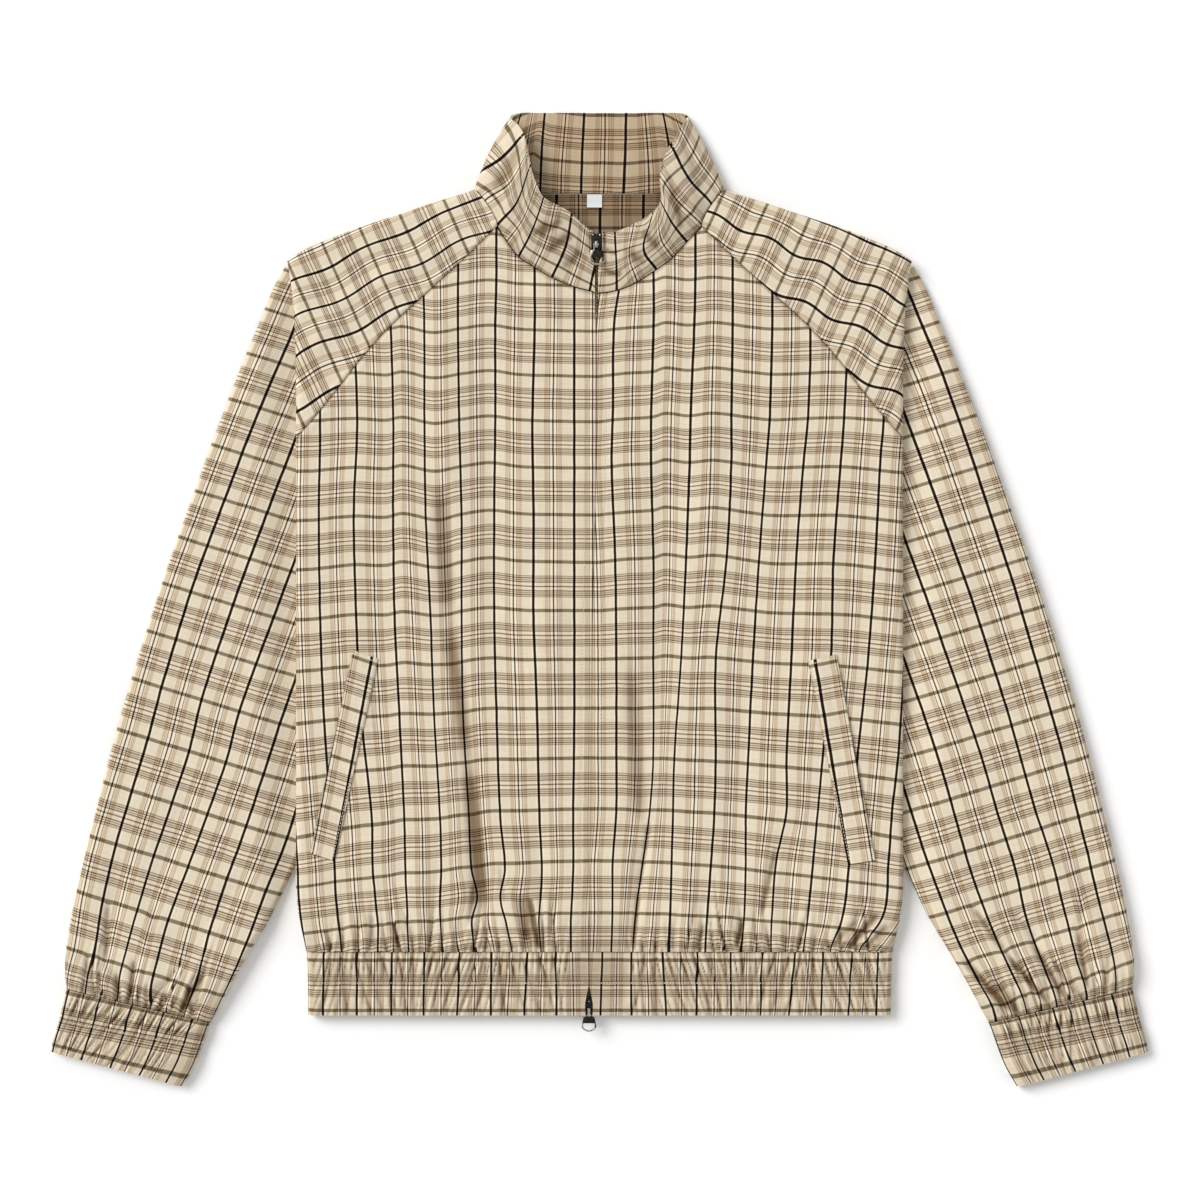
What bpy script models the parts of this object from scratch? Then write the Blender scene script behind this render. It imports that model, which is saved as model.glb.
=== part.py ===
"""A zip-front track jacket with raglan sleeves, laid flat on its back with its sleeves down its sides.

The origin is on the floor, under the middle of the laid jacket. +X is to the right as one looks down
on the front, where the wearer's left sleeve lies, +Y runs towards the collar and +Z is up.
Every size below is in millimetres. Shapes become metres as their meshes are made.

Each cloth piece is an open skin, its outer face, worked out row by row and then given its wall
inwards. A plan point is (x, y). `side` is +1 for the wearer's left half and -1 for the right half,
and `out` is a distance from the middle of the jacket, the same on both halves.
"""
from math import cos, exp, hypot, pi, sin

import bmesh
import bpy
from mathutils import Vector
from mathutils.bvhtree import BVHTree

METRES = 0.001

# ---------------------------------------------------------------- driving sizes, in millimetres
LENGTH = 816.0              # collar's top edge to the lowest corner of a cuff
SPAN = 920.0                # cuff to cuff
COLLAR_TOP_Y = LENGTH / 2
CUFF_END_Y = -LENGTH / 2
HEM_SEAM_Y = -295.0
HEM_EDGE_Y = -348.0
BACK_NECK_Y = 340.0
CHEST_HALF = 253.7          # half the chest's width, fold to fold
ARMPIT_Y = 134.0
TIP_OUT, TIP_Y = 261.0, 282.5   # the shoulder's tip
TIP_BEND = 4.0              # how late the fold line turns out to the tip
SHOULDER_LEAN = 0.93        # cosine of the shoulder line's slope
NECK_BEND = 1.5             # the same for the collar's seam over the shoulder
NECK_OUT = 85.5             # where the front raglan seam meets the collar
BACK_NECK_OUT = 70.0        # where the back raglan seam meets the collar

BODY_WALL = 1.2
COLLAR_WALL = 2.0
HEM_WALL = 2.5
CUFF_WALL = 2.5
LABEL_WALL = 1.0
WELT_WALL = 1.3
SEAM = 0.5                  # slit between two pieces at a seam, measured along the cloth
CLEAR = 0.4                 # gap between two layers that lie on each other

ROLL = 6.0                  # how far in from a fold the cloth takes to turn over
HEM_HEIGHT = 12.5
CUFF_HEIGHT = 11.0
UNDER_BODY = 6.0            # an arm's height where the body lies on it
RISE = 20.0                 # how far the back takes to climb onto an arm
RISE_AHEAD = 23.0           # how far before the arm's edge it is up

FRONT_GATHERS = 18          # puckers on each half of the hem
CUFF_GATHERS = 12           # puckers across a cuff
FLAT_TAB = 24.0             # the hem's flat end beside the zip

# Finishes: colour, roughness and how metallic it is.
CLOTH = ((0.76, 0.68, 0.52), 0.85, 0.0)
LABEL = ((0.85, 0.86, 0.86), 0.7, 0.0)
TAPE = ((0.05, 0.045, 0.04), 0.8, 0.0)
METAL = ((0.10, 0.10, 0.11), 0.35, 1.0)


def table(names, *rows):
    """Rows of a table as dictionaries, by the names of its columns."""
    return [dict(zip(names.split(), row)) for row in rows]


# ---------------------------------------------------------------- outlines, seen from above
BODY_EDGE = table(
    "y out",
    (-348, 244), (-300, 245), (-288, 247), (-268, 250.8), (-243, CHEST_HALF), (-200, CHEST_HALF),
)
SHOULDER = table(
    "out y",
    (105, 343), (111, 340.5), (140, 331.5), (169, 321.5), (201, 311), (226, 301.2), (248, 291.2),
    (TIP_OUT, TIP_Y),
)
FRONT_RAGLAN = table(
    "out y",
    (NECK_OUT, 311), (114, 283), (143, 256.5), (171, 231), (195, 205), (218, 176), (237, 152.5),
    (CHEST_HALF, ARMPIT_Y),
)
BACK_RAGLAN = table(
    "out y",
    (BACK_NECK_OUT, 338), (100, 303), (143, 257), (195, 203), (237, 152), (CHEST_HALF, ARMPIT_Y),
)
COLLAR_SEAM = table(
    "x y",
    (-86, 310.5), (-69, 287), (-54, 276.5), (-41, 268.5), (-22, 260.5), (-8, 257), (0, 255),
    (17, 258), (31, 264), (48, 275), (62, 285.5), (75, 300), (86, 310.5),
)
CENTRE_FRONT = table("y x", (-348, -8.8), (-295, -8.8), (-43, -6.3), (133, -2.6), (306, -2.6))
ZIP_GAP = table(            # how far apart the two front edges lie
    "y gap",
    (-348, 6.0), (-338, 6.4), (-329, 3.0), (-322, 0.8), (200, 0.8), (224, 0.9), (238, 2.8),
    (276, 2.8), (282, 5.0), (289, 11.4), (307, 11.4),
)
ARM_INNER = table(          # an arm's inner edge, hidden by the body above y = -222
    "y out",
    (-355, 326), (-329, 312), (-310, 302), (-274, 280), (-253, 268), (-222, 253), (-145, 222),
    (-60, 197), (20, 185), (90, 185), (150, 200), (200, 221), (250, 245), (280, 262),
)

# ---------------------------------------------------------------- heights above the floor
BODY_HEIGHT = table(
    "y height",
    (-295, 12.5), (-284, 14.0), (-262, 16.0), (-200, 16.5), (0, 17.0), (150, 17.5), (240, 17.5),
    (311, 16.5), (341, 13.5),
)
FRONT_FOLDS = table(        # long soft ridges and troughs; the height of a trough is below nought
    "x1 y1 x2 y2 width height",
    (-134, 262, -128, 60, 13, 2.0),
    (-92, 205, -84, -60, 12, -1.8),
    (55, 110, 52, -105, 14, -2.6),
    (92, 180, 84, 20, 12, 1.6),
    (-40, 40, -52, -150, 14, 1.8),
    (-190, 60, -176, -120, 14, -1.6),
    (188, 70, 180, -100, 14, 1.8),
    (120, -60, 112, -250, 13, -2.0),
    (-100, -200, -95, -292, 8, -2.6),
    (-52, -190, -48, -292, 8, -2.4),
    (36, -200, 27, -292, 8, -2.8),
    (70, -215, 74, -292, 8, 2.0),
    (-150, -205, -154, -292, 9, 2.2),
    (160, -195, 152, -292, 9, -2.2),
    (214, -215, 208, -290, 9, 2.0),
    (60, 262, 30, 232, 8, 1.6),
    (-60, 262, -36, 236, 8, 1.4),
)
SHOULDER_FOLDS = table(     # the same on both halves
    "out1 y1 out2 y2 width height",
    (120, 300, 190, 262, 10, 1.4),
    (150, 300, 236, 250, 10, -1.6),
    (205, 262, 246, 196, 9, 1.6),
)
ARM_FOLDS = {               # by side: the right arm lies smoother
    +1: table(
        "out1 y1 out2 y2 width height",
        (275, 215, 315, 95, 9, 1.8),
        (300, 60, 352, -60, 10, -1.8),
        (300, -70, 390, -130, 10, 1.8),
        (330, -160, 415, -205, 10, -2.0),
        (300, -215, 380, -285, 9, -2.6),
        (352, -205, 425, -268, 9, 2.4),
        (395, -215, 440, -290, 9, -2.6),
        (318, -262, 352, -335, 8, 2.2),
        (360, -270, 392, -330, 8, -2.4),
        (410, -270, 430, -322, 8, 2.2),
    ),
    -1: table(
        "out1 y1 out2 y2 width height",
        (275, 215, 315, 95, 9, 1.4),
        (345, -165, 380, -265, 11, -1.8),
        (402, -220, 411, -300, 9, -2.4),
        (300, -235, 345, -305, 9, -2.0),
        (318, -262, 352, -335, 8, 2.0),
        (368, -262, 384, -330, 8, 2.0),
    ),
}

# An arm's rows run across it, from the cuff's seam up to the shoulder's tip.
ARM_ROWS = table(
    "outer_x outer_y inner_x inner_y height",
    (446.6, -326.2, 326.2, -354.8, CUFF_HEIGHT),
    (447.2, -319, 321.5, -346.5, 12.5),
    (447.6, -310, 316, -336, 14.0),
    (447.0, -297, 307, -319.5, 15.0),
    (443.5, -274, 291.5, -293, 15.0),
    (438.5, -248, 277, -269, 14.5),
    (430.0, -211, 261.5, -237, 14.0),
    (419.5, -169, 242.5, -197, 14.0),
    (408.5, -125, 226, -156, 13.5),
    (395.6, -79, 208.5, -106, 13.5),
    (379.5, -27, 193, -42, 13.0),
    (361.5, 28, 185, 24, 13.0),
    (341.5, 84, 185, 84, 12.5),
    (322.5, 137, 196, 142, 12.0),
    (303.0, 188, 216, 191, 11.5),
    (285.5, 231, 238, 236, 11.0),
    (272.5, 263, 250, 262, 9.5),
    (263.5, 279, 257, 275, 8.0),
)
CUFF_ROWS = table(
    "outer_x outer_y inner_x inner_y swell",
    (446.6, -326.2, 326.2, -354.8, 0.0),
    (449.6, -339.5, 329.4, -363.5, 1.0),
    (452.8, -352.5, 333.6, -375.5, -0.2),
    (456.8, -366.0, 340.0, -391.5, 1.0),
    (SPAN / 2, -378.5, 349.5, CUFF_END_Y, -0.2),
)
HEM_ROWS = table("y swell", (HEM_SEAM_Y, 0.0), (-308, 1.0), (-321, -0.2), (-335, 1.0), (HEM_EDGE_Y, -0.2))

# The collar's top edge, against the distance walked along its seam from the zip.
COLLAR_TOP = {
    +1: table(
        "walk out y z",
        (0, 1, 306, 19.0), (16, 11, 305.5, 19.6), (28, 20, 308.5, 21.3), (40, 31, 313.5, 23),
        (53, 42, 320, 24.5), (67, 49, 327.5, 25.5), (80, 51, 336, 26), (94, 50, 347, 26),
        (107, 51.5, 360, 25), (121, 57, 375, 22.5), (131, 63.5, 387, 19), (138, 69.5, 396, 14),
        (143, 74.5, 402, 8), (148, 72.5, 406.5, 3), (155, 66, 408, 0.2), (178, 50, 408, 0.0),
        (205, 30, 408, 0.0), (248, 0, 408, 0.0),
    ),
    -1: table(
        "walk out y z",
        (0, 6, 306, 19.0), (12, 13, 312, 19.6), (24, 21, 319, 21.3), (36, 31, 326, 23),
        (49, 41, 330.5, 24.5), (62, 47.5, 335, 25.5), (76, 51, 342, 26), (90, 55, 352, 26),
        (102, 57.5, 362, 25), (117, 60, 376, 22.5), (127, 63.5, 388, 19), (134, 69, 397, 14),
        (139, 74.5, 402.5, 8), (144, 73, 406.5, 3), (151, 66, 408, 0.2), (174, 50, 408, 0.0),
        (200, 30, 408, 0.0), (246, 0, 408, 0.0),
    ),
}
COLLAR_BOW = table(         # how far the middle of the collar stands out from a straight line
    "walk bow",
    (0, 0.0), (15, 0.8), (40, 2.5), (80, 3.5), (107, 4.0), (130, 3.6), (142, 2.8), (154, 0.0), (250, 0.0),
)

WELTS = {                   # corners of the pocket welts, from the top inner one, round by the side
    -1: ((-184.5, -50.0), (-205.5, -42.5), (-241.5, -212.0), (-221.0, -218.5)),
    +1: ((197.5, -46.5), (173.5, -51.5), (207.0, -221.5), (230.0, -218.0)),
}


# ---------------------------------------------------------------- small tools
def read(rows, by, column, at):
    """A table's column where its column `by` is `at`, on a smooth curve through the rows."""
    last = len(rows) - 1
    if at <= rows[0][by]:
        return rows[0][column]
    if at >= rows[last][by]:
        return rows[last][column]
    i = max(k for k in range(last) if rows[k][by] <= at)

    def slope(k):
        low, high = rows[max(k - 1, 0)], rows[min(k + 1, last)]
        return (high[column] - low[column]) / (high[by] - low[by])

    span = rows[i + 1][by] - rows[i][by]
    t = (at - rows[i][by]) / span
    return (
        (2 * t**3 - 3 * t**2 + 1) * rows[i][column]
        + (t**3 - 2 * t**2 + t) * span * slope(i)
        + (3 * t**2 - 2 * t**3) * rows[i + 1][column]
        + (t**3 - t**2) * span * slope(i + 1)
    )


def mix(a, b, t):
    return a + (b - a) * t


def ease(low, high, value):
    """0 up to `low`, 1 past `high`, and a smooth climb between."""
    t = min(max((value - low) / (high - low), 0.0), 1.0)
    return t * t * (3 - 2 * t)


def uneven(n):
    """A repeatable unevenness from -1 to 1 for the n-th of many like things."""
    return 0.6 * sin(2.4 * n + 0.7) + 0.4 * sin(5.1 * n + 1.9)


def turn(inset, roll=ROLL):
    """How much of its full height cloth has `inset` in from a fold: a quarter round."""
    t = min(max(inset / roll, 0.0), 1.0)
    return (1 - (1 - t) ** 2) ** 0.5


def folds(rows, first, x, y):
    """The height that a table of folds adds at (x, y); `first` names its first column's stem."""
    total = 0.0
    for fold in rows:
        ax, ay, bx, by = fold[first + "1"], fold["y1"], fold[first + "2"], fold["y2"]
        dx, dy = bx - ax, by - ay
        along = ((x - ax) * dx + (y - ay) * dy) / (dx * dx + dy * dy)
        across = abs((x - ax) * dy - (y - ay) * dx) / hypot(dx, dy)
        ends = ease(-0.12, 0.2, along) * ease(-0.12, 0.2, 1 - along)
        total += fold["height"] * ends * exp(-((across / fold["width"]) ** 2))
    return total


def gathers(low, high, count):
    """Crests and troughs from `low` to `high`, as (place, level) with a level from -1 to 1."""
    step = (high - low) / count
    found = []
    for n in range(count):
        crest = low + (n + 0.5 + 0.18 * uneven(n)) * step
        trough = low + (n + 1 + 0.16 * uneven(n + 40)) * step
        found.append((crest, 0.75 + 0.25 * uneven(n + 7)))
        if n < count - 1:
            found.append((trough, -0.75 + 0.25 * uneven(n + 19)))
    return found


# ---------------------------------------------------------------- the laid body's two faces
def body_edge(y):
    """The fold line down the body's side, and up over the armpit to the shoulder's tip."""
    climbed = max(y - ARMPIT_Y, 0.0) / (TIP_Y - ARMPIT_Y)
    return read(BODY_EDGE, "y", "out", y) + (TIP_OUT - CHEST_HALF) * climbed**TIP_BEND


def climb(out, y):
    """The level of the back's outer face: the floor, or the top of the arm that it lies on."""
    inner = read(ARM_INNER, "y", "out", y)
    return (UNDER_BODY + CLEAR) * ease(-RISE - RISE_AHEAD, -RISE_AHEAD, (out - inner) * SHOULDER_LEAN)


def body_levels(x, y):
    """Outer level of the front, of the fold between front and back, and of the back, inside the folds."""
    out = abs(x)
    top = read(BODY_HEIGHT, "y", "height", y)
    top += folds(FRONT_FOLDS, "x", x, y) * ease(BODY_WALL, 25, body_edge(y) - out)
    top += folds(SHOULDER_FOLDS, "out", out, y)
    under = climb(out, y)
    return top, (top + under) / 2, under


def rolled(x, y):
    """How far both faces of the body have parted at (x, y), from 0 on its fold lines to 1."""
    out = abs(x)
    beside = body_edge(y) - out
    neck = SHOULDER[0]["out"]
    above = hypot(max(neck - out, 0.0), max(read(SHOULDER, "out", "y", out) - y, 0.0) * SHOULDER_LEAN)
    return turn(beside) * turn(above)


def front_z(x, y):
    top, middle, _ = body_levels(x, y)
    return mix(middle, top, rolled(x, y))


def back_z(x, y):
    _, middle, under = body_levels(x, y)
    return mix(middle, under, rolled(x, y))


def centre_edge(side, y):
    """The edge of a front along the zip."""
    return read(CENTRE_FRONT, "y", "x", y) + side * read(ZIP_GAP, "y", "gap", y) / 2


# ---------------------------------------------------------------- meshes
def material(name, finish):
    color, roughness, metallic = finish
    made = bpy.data.materials.get(name)
    if made is None:
        made = bpy.data.materials.new(name)
        made.use_nodes = True
        shader = made.node_tree.nodes["Principled BSDF"]
        shader.inputs["Base Color"].default_value = (*color, 1.0)
        shader.inputs["Roughness"].default_value = roughness
        shader.inputs["Metallic"].default_value = metallic
    return made


def finish_object(name, mesh, finish, smooth_degrees=50):
    """Put a mesh on the jacket as a named piece with its own material."""
    piece = bpy.data.objects.new(name, mesh)
    JACKET.objects.link(piece)
    mesh.materials.append(material(name + "_finish", finish))
    mesh.shade_smooth()
    mesh.set_sharp_from_angle(angle=smooth_degrees * pi / 180)
    return piece


def skin(name, rows, wall, finish, flip=False):
    """A cloth piece: faces between neighbouring rows, then a wall added behind them.

    A row is a list of (place, point), and two rows may differ in their number of points. Points that
    coincide, as where a tube closes, become one.
    """
    work = bmesh.new()
    made = [[(place, work.verts.new(Vector(point) * METRES)) for place, point in row] for row in rows]
    for low, high in zip(made, made[1:]):
        i = j = 0
        while i < len(low) - 1 or j < len(high) - 1:
            step_low = j == len(high) - 1 or (i < len(low) - 1 and low[i + 1][0] <= high[j + 1][0])
            if step_low:
                corners = [low[i][1], low[i + 1][1], high[j][1]]
                i += 1
            else:
                corners = [low[i][1], high[j + 1][1], high[j][1]]
                j += 1
            work.faces.new(corners[::-1] if flip else corners)
    bmesh.ops.remove_doubles(work, verts=work.verts, dist=0.02 * METRES)
    bmesh.ops.dissolve_degenerate(work, edges=work.edges, dist=0.02 * METRES)
    mesh = bpy.data.meshes.new(name)
    work.to_mesh(mesh)
    work.free()
    piece = finish_object(name, mesh, finish)
    solid = piece.modifiers.new("wall", "SOLIDIFY")
    solid.thickness = wall * METRES
    solid.offset = -1.0
    solid.use_quality_normals = True
    return piece


# ---------------------------------------------------------------- body: fronts, back and hem
SEAM_OUTS = (NECK_OUT, 104, 122, 141, 160, 179, 197, 213, 227, 238)
NECK_OUTS = (14, 25, 36, 47, 58, 68, 77)
ROLL_INSETS = (ROLL, 0.3 * ROLL, 0.0)
GATHER_ROWS = table("part amount", (0.0, 0.55), (0.012, 1.3), (0.03, 1.1), (0.055, 0.4))
PLAIN_PARTS = (0.09, 0.15, 0.23, 0.31, 0.40, 0.49, 0.58, 0.67, 0.76, 0.85, 0.93, 1.0)
HEM_GATHERS = gathers(FLAT_TAB, 238, FRONT_GATHERS)


def front_top_y(side, out):
    """Top edge of a front: the raglan seam, or the collar's seam nearer the zip."""
    if out >= NECK_OUT:
        return read(FRONT_RAGLAN, "out", "y", out) - SEAM / 2
    return read(COLLAR_SEAM, "x", "y", side * out) - SEAM / 2


def body_columns(side, y, middle):
    """The places across a front at height y, from the zip to the side, as (out, level)."""
    edge = body_edge(y)
    start = side * centre_edge(side, y)
    return [(start, 0.0)] + middle + [(edge - inset, 0.0) for inset in ROLL_INSETS]


def side_ladder(x, y, middle, toward):
    """The last two points of a row at the side seam, one above the other, so that the rim is level."""
    return [(x, y, middle + toward * (BODY_WALL + 0.6)), (x, y, middle + toward * SEAM / 2)]


def front(side, name):
    rows = []
    plain = [(out, 0.0) for out in NECK_OUTS + SEAM_OUTS]
    stages = [(row["part"], row["amount"], HEM_GATHERS) for row in GATHER_ROWS]
    stages += [(part, 0.0, plain) for part in PLAIN_PARTS]
    for part, amount, middle_columns in stages:
        guess_y = mix(HEM_SEAM_Y, ARMPIT_Y, part)
        row = []
        for out, level in body_columns(side, guess_y, middle_columns):
            y = mix(HEM_SEAM_Y + SEAM / 2, front_top_y(side, out), part)
            if not row:
                out = side * centre_edge(side, y)
                y = mix(HEM_SEAM_Y + SEAM / 2, front_top_y(side, abs(out)), part)
            x = side * out
            row.append((out, (x, y, front_z(x, y) + amount * level)))
        out, (x, y, _) = row.pop()
        middle = body_levels(x, y)[1]
        row += [(out + n, point) for n, point in enumerate(side_ladder(x, y, middle, 1))]
        rows.append(row)
    return skin(name, rows, BODY_WALL, CLOTH, flip=side < 0)


def back_out(out):
    """The back raglan seam's place for the same row of the shoulder as `out` on the front's."""
    return mix(BACK_NECK_OUT, CHEST_HALF, (out - NECK_OUT) / (CHEST_HALF - NECK_OUT))


BACK_NECK_OUTS = (0, 18, 36, 54)
BACK_PARTS = (0.0, 0.012, 0.03, 0.055) + PLAIN_PARTS


def back_panel():
    half = [(out, BACK_NECK_Y - SEAM / 2) for out in BACK_NECK_OUTS]
    half += [(back_out(out), None) for out in SEAM_OUTS]
    rows = []
    for part in BACK_PARTS:
        edge = body_edge(mix(HEM_SEAM_Y, ARMPIT_Y, part))
        outs = [out for out, _ in half] + [edge - inset for inset in ROLL_INSETS[:-1]] + [edge]
        row = []
        for side in (-1, 1):
            for out in outs if side > 0 else outs[:0:-1]:
                top = BACK_NECK_Y if out < BACK_NECK_OUT else read(BACK_RAGLAN, "out", "y", out)
                y = mix(HEM_SEAM_Y + SEAM / 2, top - SEAM / 2, part)
                x = side * out
                point = (x, y, back_z(x, y))
                if out == edge:
                    pair = side_ladder(x, y, body_levels(x, y)[1], -1)
                    steps = pair if side > 0 else pair[::-1]
                    row += [(x + n * side if side > 0 else x - 1 + n, p) for n, p in enumerate(steps)]
                else:
                    row.append((x, point))
        rows.append(row)
    return skin("back_panel", rows, BODY_WALL, CLOTH, flip=True)


def hem_band():
    """One elasticated band from zip edge to zip edge, round the back, with two gathered channels."""
    rows = []
    for number, stage in enumerate(HEM_ROWS):
        y = stage["y"] - (SEAM / 2 if number == 0 else 0)
        amount = 0.55 if number == 0 else 0.35 + 0.5 * max(stage["swell"], 0)
        edge = body_edge(y)
        top = HEM_HEIGHT + stage["swell"]
        middle = HEM_HEIGHT / 2
        row = []
        for side in (-1, 1):
            half = [(centre_edge(side, y) * side, 0.0)] + HEM_GATHERS
            front_half = [(out, (side * out, y, top + amount * level)) for out, level in half]
            for angle in (90, 45, 0, -45, -90):
                inset = ROLL * (1 - cos(angle * pi / 180))
                half_height = top - middle if angle > 0 else middle
                z = middle + half_height * sin(angle * pi / 180)
                front_half.append((edge + 90 - angle, (side * (edge - inset), y, z)))
            back_half = [(edge + 200 + k, (side * out, y, 0.0)) for k, out in enumerate((180, 120, 60))]
            half_row = front_half + back_half
            if side < 0:
                row = half_row + [(edge + 203, (0.0, y, 0.0))]
            else:
                far = 2 * (edge + 203)
                row += [(far - place, point) for place, point in half_row[::-1]]
        rows.append(row)
    return skin("hem_band", rows, HEM_WALL, CLOTH)


# ---------------------------------------------------------------- sleeves: shoulder, arm and cuff
def shoulder_row(side, out):
    """One row over the shoulder, from the front raglan seam round its top edge to the back seam."""
    seam_y = read(FRONT_RAGLAN, "out", "y", out) + SEAM / 2
    share = (out - NECK_OUT) / (CHEST_HALF - NECK_OUT)
    top_out = mix(SHOULDER[0]["out"], TIP_OUT, share)
    bend = mix(NECK_BEND, TIP_BEND, share)
    top_y = read(SHOULDER, "out", "y", top_out)
    behind = back_out(out)
    behind_y = read(BACK_RAGLAN, "out", "y", behind) + SEAM / 2
    row = []
    for start, start_y, level, order in ((out, seam_y, front_z, 1), (behind, behind_y, back_z, -1)):
        reach = hypot(top_out - start, top_y - start_y)
        stops = [reach * share for share in (0.0, 0.2, 0.4, 0.6, 0.8)]
        stops += [reach - inset for inset in ROLL_INSETS]
        stops = stops if order > 0 else stops[-2::-1]
        for stop in stops:
            x = side * mix(start, top_out, (stop / reach) ** bend)
            y = mix(start_y, top_y, stop / reach)
            row.append((len(row), (x, y, level(x, y))))
    return row


ARMPIT_SLIT = 0.6       # half the slit left at the armpit, where the two raglan seams meet


def shoulder_outs():
    return list(SEAM_OUTS) + [CHEST_HALF - inset for inset in ROLL_INSETS]


def sleeve_shoulder(side, name):
    """The raglan sleeve's upper stretch, closed along the fold at its outer end."""
    rows = [shoulder_row(side, out) for out in shoulder_outs()]
    for end, shift in ((0, ARMPIT_SLIT), (-1, -ARMPIT_SLIT)):
        place, (x, y, z) = rows[-1][end]
        rows[-1][end] = (place, (x, y, z + shift))
    return skin(name, rows, BODY_WALL, CLOTH, flip=side > 0)


def ring(side, stage, stops, height_at, inner_roll=ROLL):
    """A row round a flattened tube: its top from the inner edge to the outer one, then its underside.

    `stops` gives (share of the width, level of gather) on the top; `height_at` gives its height.
    """
    inner = Vector((stage["inner_x"], stage["inner_y"]))
    outer = Vector((stage["outer_x"], stage["outer_y"]))
    width = (outer - inner).length
    under_stops = tube_stops(width, 2, inner_roll) if len(stops) > 3 else stops
    row = []
    for top in (True, False):
        for share, level in stops if top else under_stops[-2::-1]:
            spot = inner.lerp(outer, share)
            parted = turn(share * width, inner_roll) * turn((1 - share) * width)
            high = height_at(spot.x, spot.y)
            z = mix(high / 2, high + level if top else 0.0, parted)
            row.append((share if top else 2 - share, (side * spot.x, spot.y, z)))
    return row


def tube_stops(width, count, inner_roll=ROLL, split=None):
    """Shares of a tube's width: the two turned edges and `count` even steps between them.

    With `split`, the share where the body's edge lies on the tube, there are two steps up to it.
    """
    low, high = inner_roll / width, 1 - ROLL / width
    stops = [0.0, 0.3 * low]
    if split is not None and split > low:
        stops += [low, (low + split) / 2]
        low = split
    stops += [mix(low, high, n / count) for n in range(count + 1)]
    return [(stop, 0.0) for stop in stops + [1 - 0.3 * ROLL / width, 1.0]]


def gathered_stops(amount):
    """Shares of a cuff's width with a crest and a trough for each gather."""
    stops = [(0.0, 0.0), (0.02, 0.0)] + gathers(0.055, 0.945, CUFF_GATHERS) + [(0.98, 0.0), (1.0, 0.0)]
    return [(share, level * amount) for share, level in stops]


ARM_GATHERS = (0.55, 1.3, 0.9)          # height of the puckers in an arm's first rows above its cuff


def arm_height(side, stage):
    def height(x, y):
        shown = ease(CHEST_HALF + 1, CHEST_HALF + 34, x)
        return mix(UNDER_BODY, stage["height"], shown) + folds(ARM_FOLDS[side], "out", x, y) * shown
    return height


def sleeve_arm(side, name):
    """The sleeve's lower stretch: a flattened tube that slips under the body and closes at its top."""
    rows = []
    for number, stage in enumerate(ARM_ROWS):
        width = hypot(stage["outer_x"] - stage["inner_x"], stage["outer_y"] - stage["inner_y"])
        hidden = ease(-260, -200, stage["outer_y"])
        inner_roll = mix(ROLL, 3.5, hidden)
        if number < len(ARM_GATHERS):
            stops = gathered_stops(ARM_GATHERS[number])
        elif number < len(ARM_ROWS) - 1:
            split = (CHEST_HALF + 1 - stage["inner_x"]) / (stage["outer_x"] - stage["inner_x"])
            stops = tube_stops(width, 6 if number < 14 else 4, inner_roll, split)
        else:
            stops = [(share, 0.0) for share in (0.0, 0.5, 1.0)]
        row = ring(side, stage, stops, arm_height(side, stage), inner_roll=inner_roll)
        if number == 0:
            row = moved(row, (0.12 * side * SEAM, 0.49 * SEAM, 0.0))
        if number == len(ARM_ROWS) - 1:
            row = [(place, (x, y, stage["height"] / 2)) for place, (x, y, _) in row]
        rows.append(row)
    return skin(name, rows, BODY_WALL, CLOTH, flip=side < 0)


def moved(row, shift):
    return [(place, tuple(a + b for a, b in zip(point, shift))) for place, point in row]


def cuff(side, name):
    """An elasticated tube with two gathered channels."""
    rows = []
    for number, stage in enumerate(CUFF_ROWS):
        amount = 0.55 if number == 0 else 0.35 + 0.5 * max(stage["swell"], 0)
        stops = gathered_stops(amount)
        height = CUFF_HEIGHT + stage["swell"]
        row = ring(side, stage, stops, lambda x, y, height=height: height)
        if number == 0:
            row = moved(row, (-0.12 * side * SEAM, -0.49 * SEAM, 0.0))
        rows.append(row)
    return skin(name, rows, CUFF_WALL, CLOTH, flip=side > 0)


# ---------------------------------------------------------------- collar
COLLAR_STEPS = (0.0, 0.15, 0.4, 0.65, 0.87, 1.0)


def collar_seam(side):
    """The seam's points on one half, from the zip round to the middle of the back neck."""
    y = read(COLLAR_SEAM, "x", "y", 0)
    points = [(centre_edge(side, y), y)]
    points += [(side * out, read(COLLAR_SEAM, "x", "y", side * out)) for out in NECK_OUTS]
    points = [(x, y, front_z(x, y)) for x, y in points]
    points += [point for _, point in shoulder_row(side, NECK_OUT)]
    points += [(side * out, BACK_NECK_Y, 0.0) for out in BACK_NECK_OUTS[:0:-1]]
    return points


def collar_half(side):
    """Columns of the collar, each a list of points from the seam up to the top edge."""
    columns = []
    walk, before = 0.0, None
    for x, y, z in collar_seam(side):
        walk += 0.0 if before is None else hypot(x - before[0], y - before[1])
        before = (x, y)
        top = Vector([read(COLLAR_TOP[side], "walk", name, walk) for name in ("out", "y", "z")])
        top.x *= side
        top.z = max(top.z, 0.0)
        seam = Vector((x, y, z))
        seam += (top - seam).normalized() * SEAM * 1.2
        bow = read(COLLAR_BOW, "walk", "bow", walk)
        column = []
        for step in COLLAR_STEPS:
            point = seam.lerp(top, step)
            swell = 4 * step * (1 - step) * bow
            outward = ease(115, 142, walk)
            point += Vector((side * swell * outward, 0.0, swell * (1 - outward)))
            column.append(point)
        columns.append((walk, column))
    for point in columns[0][1]:
        point.x = centre_edge(side, point.y)
    return columns


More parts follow.
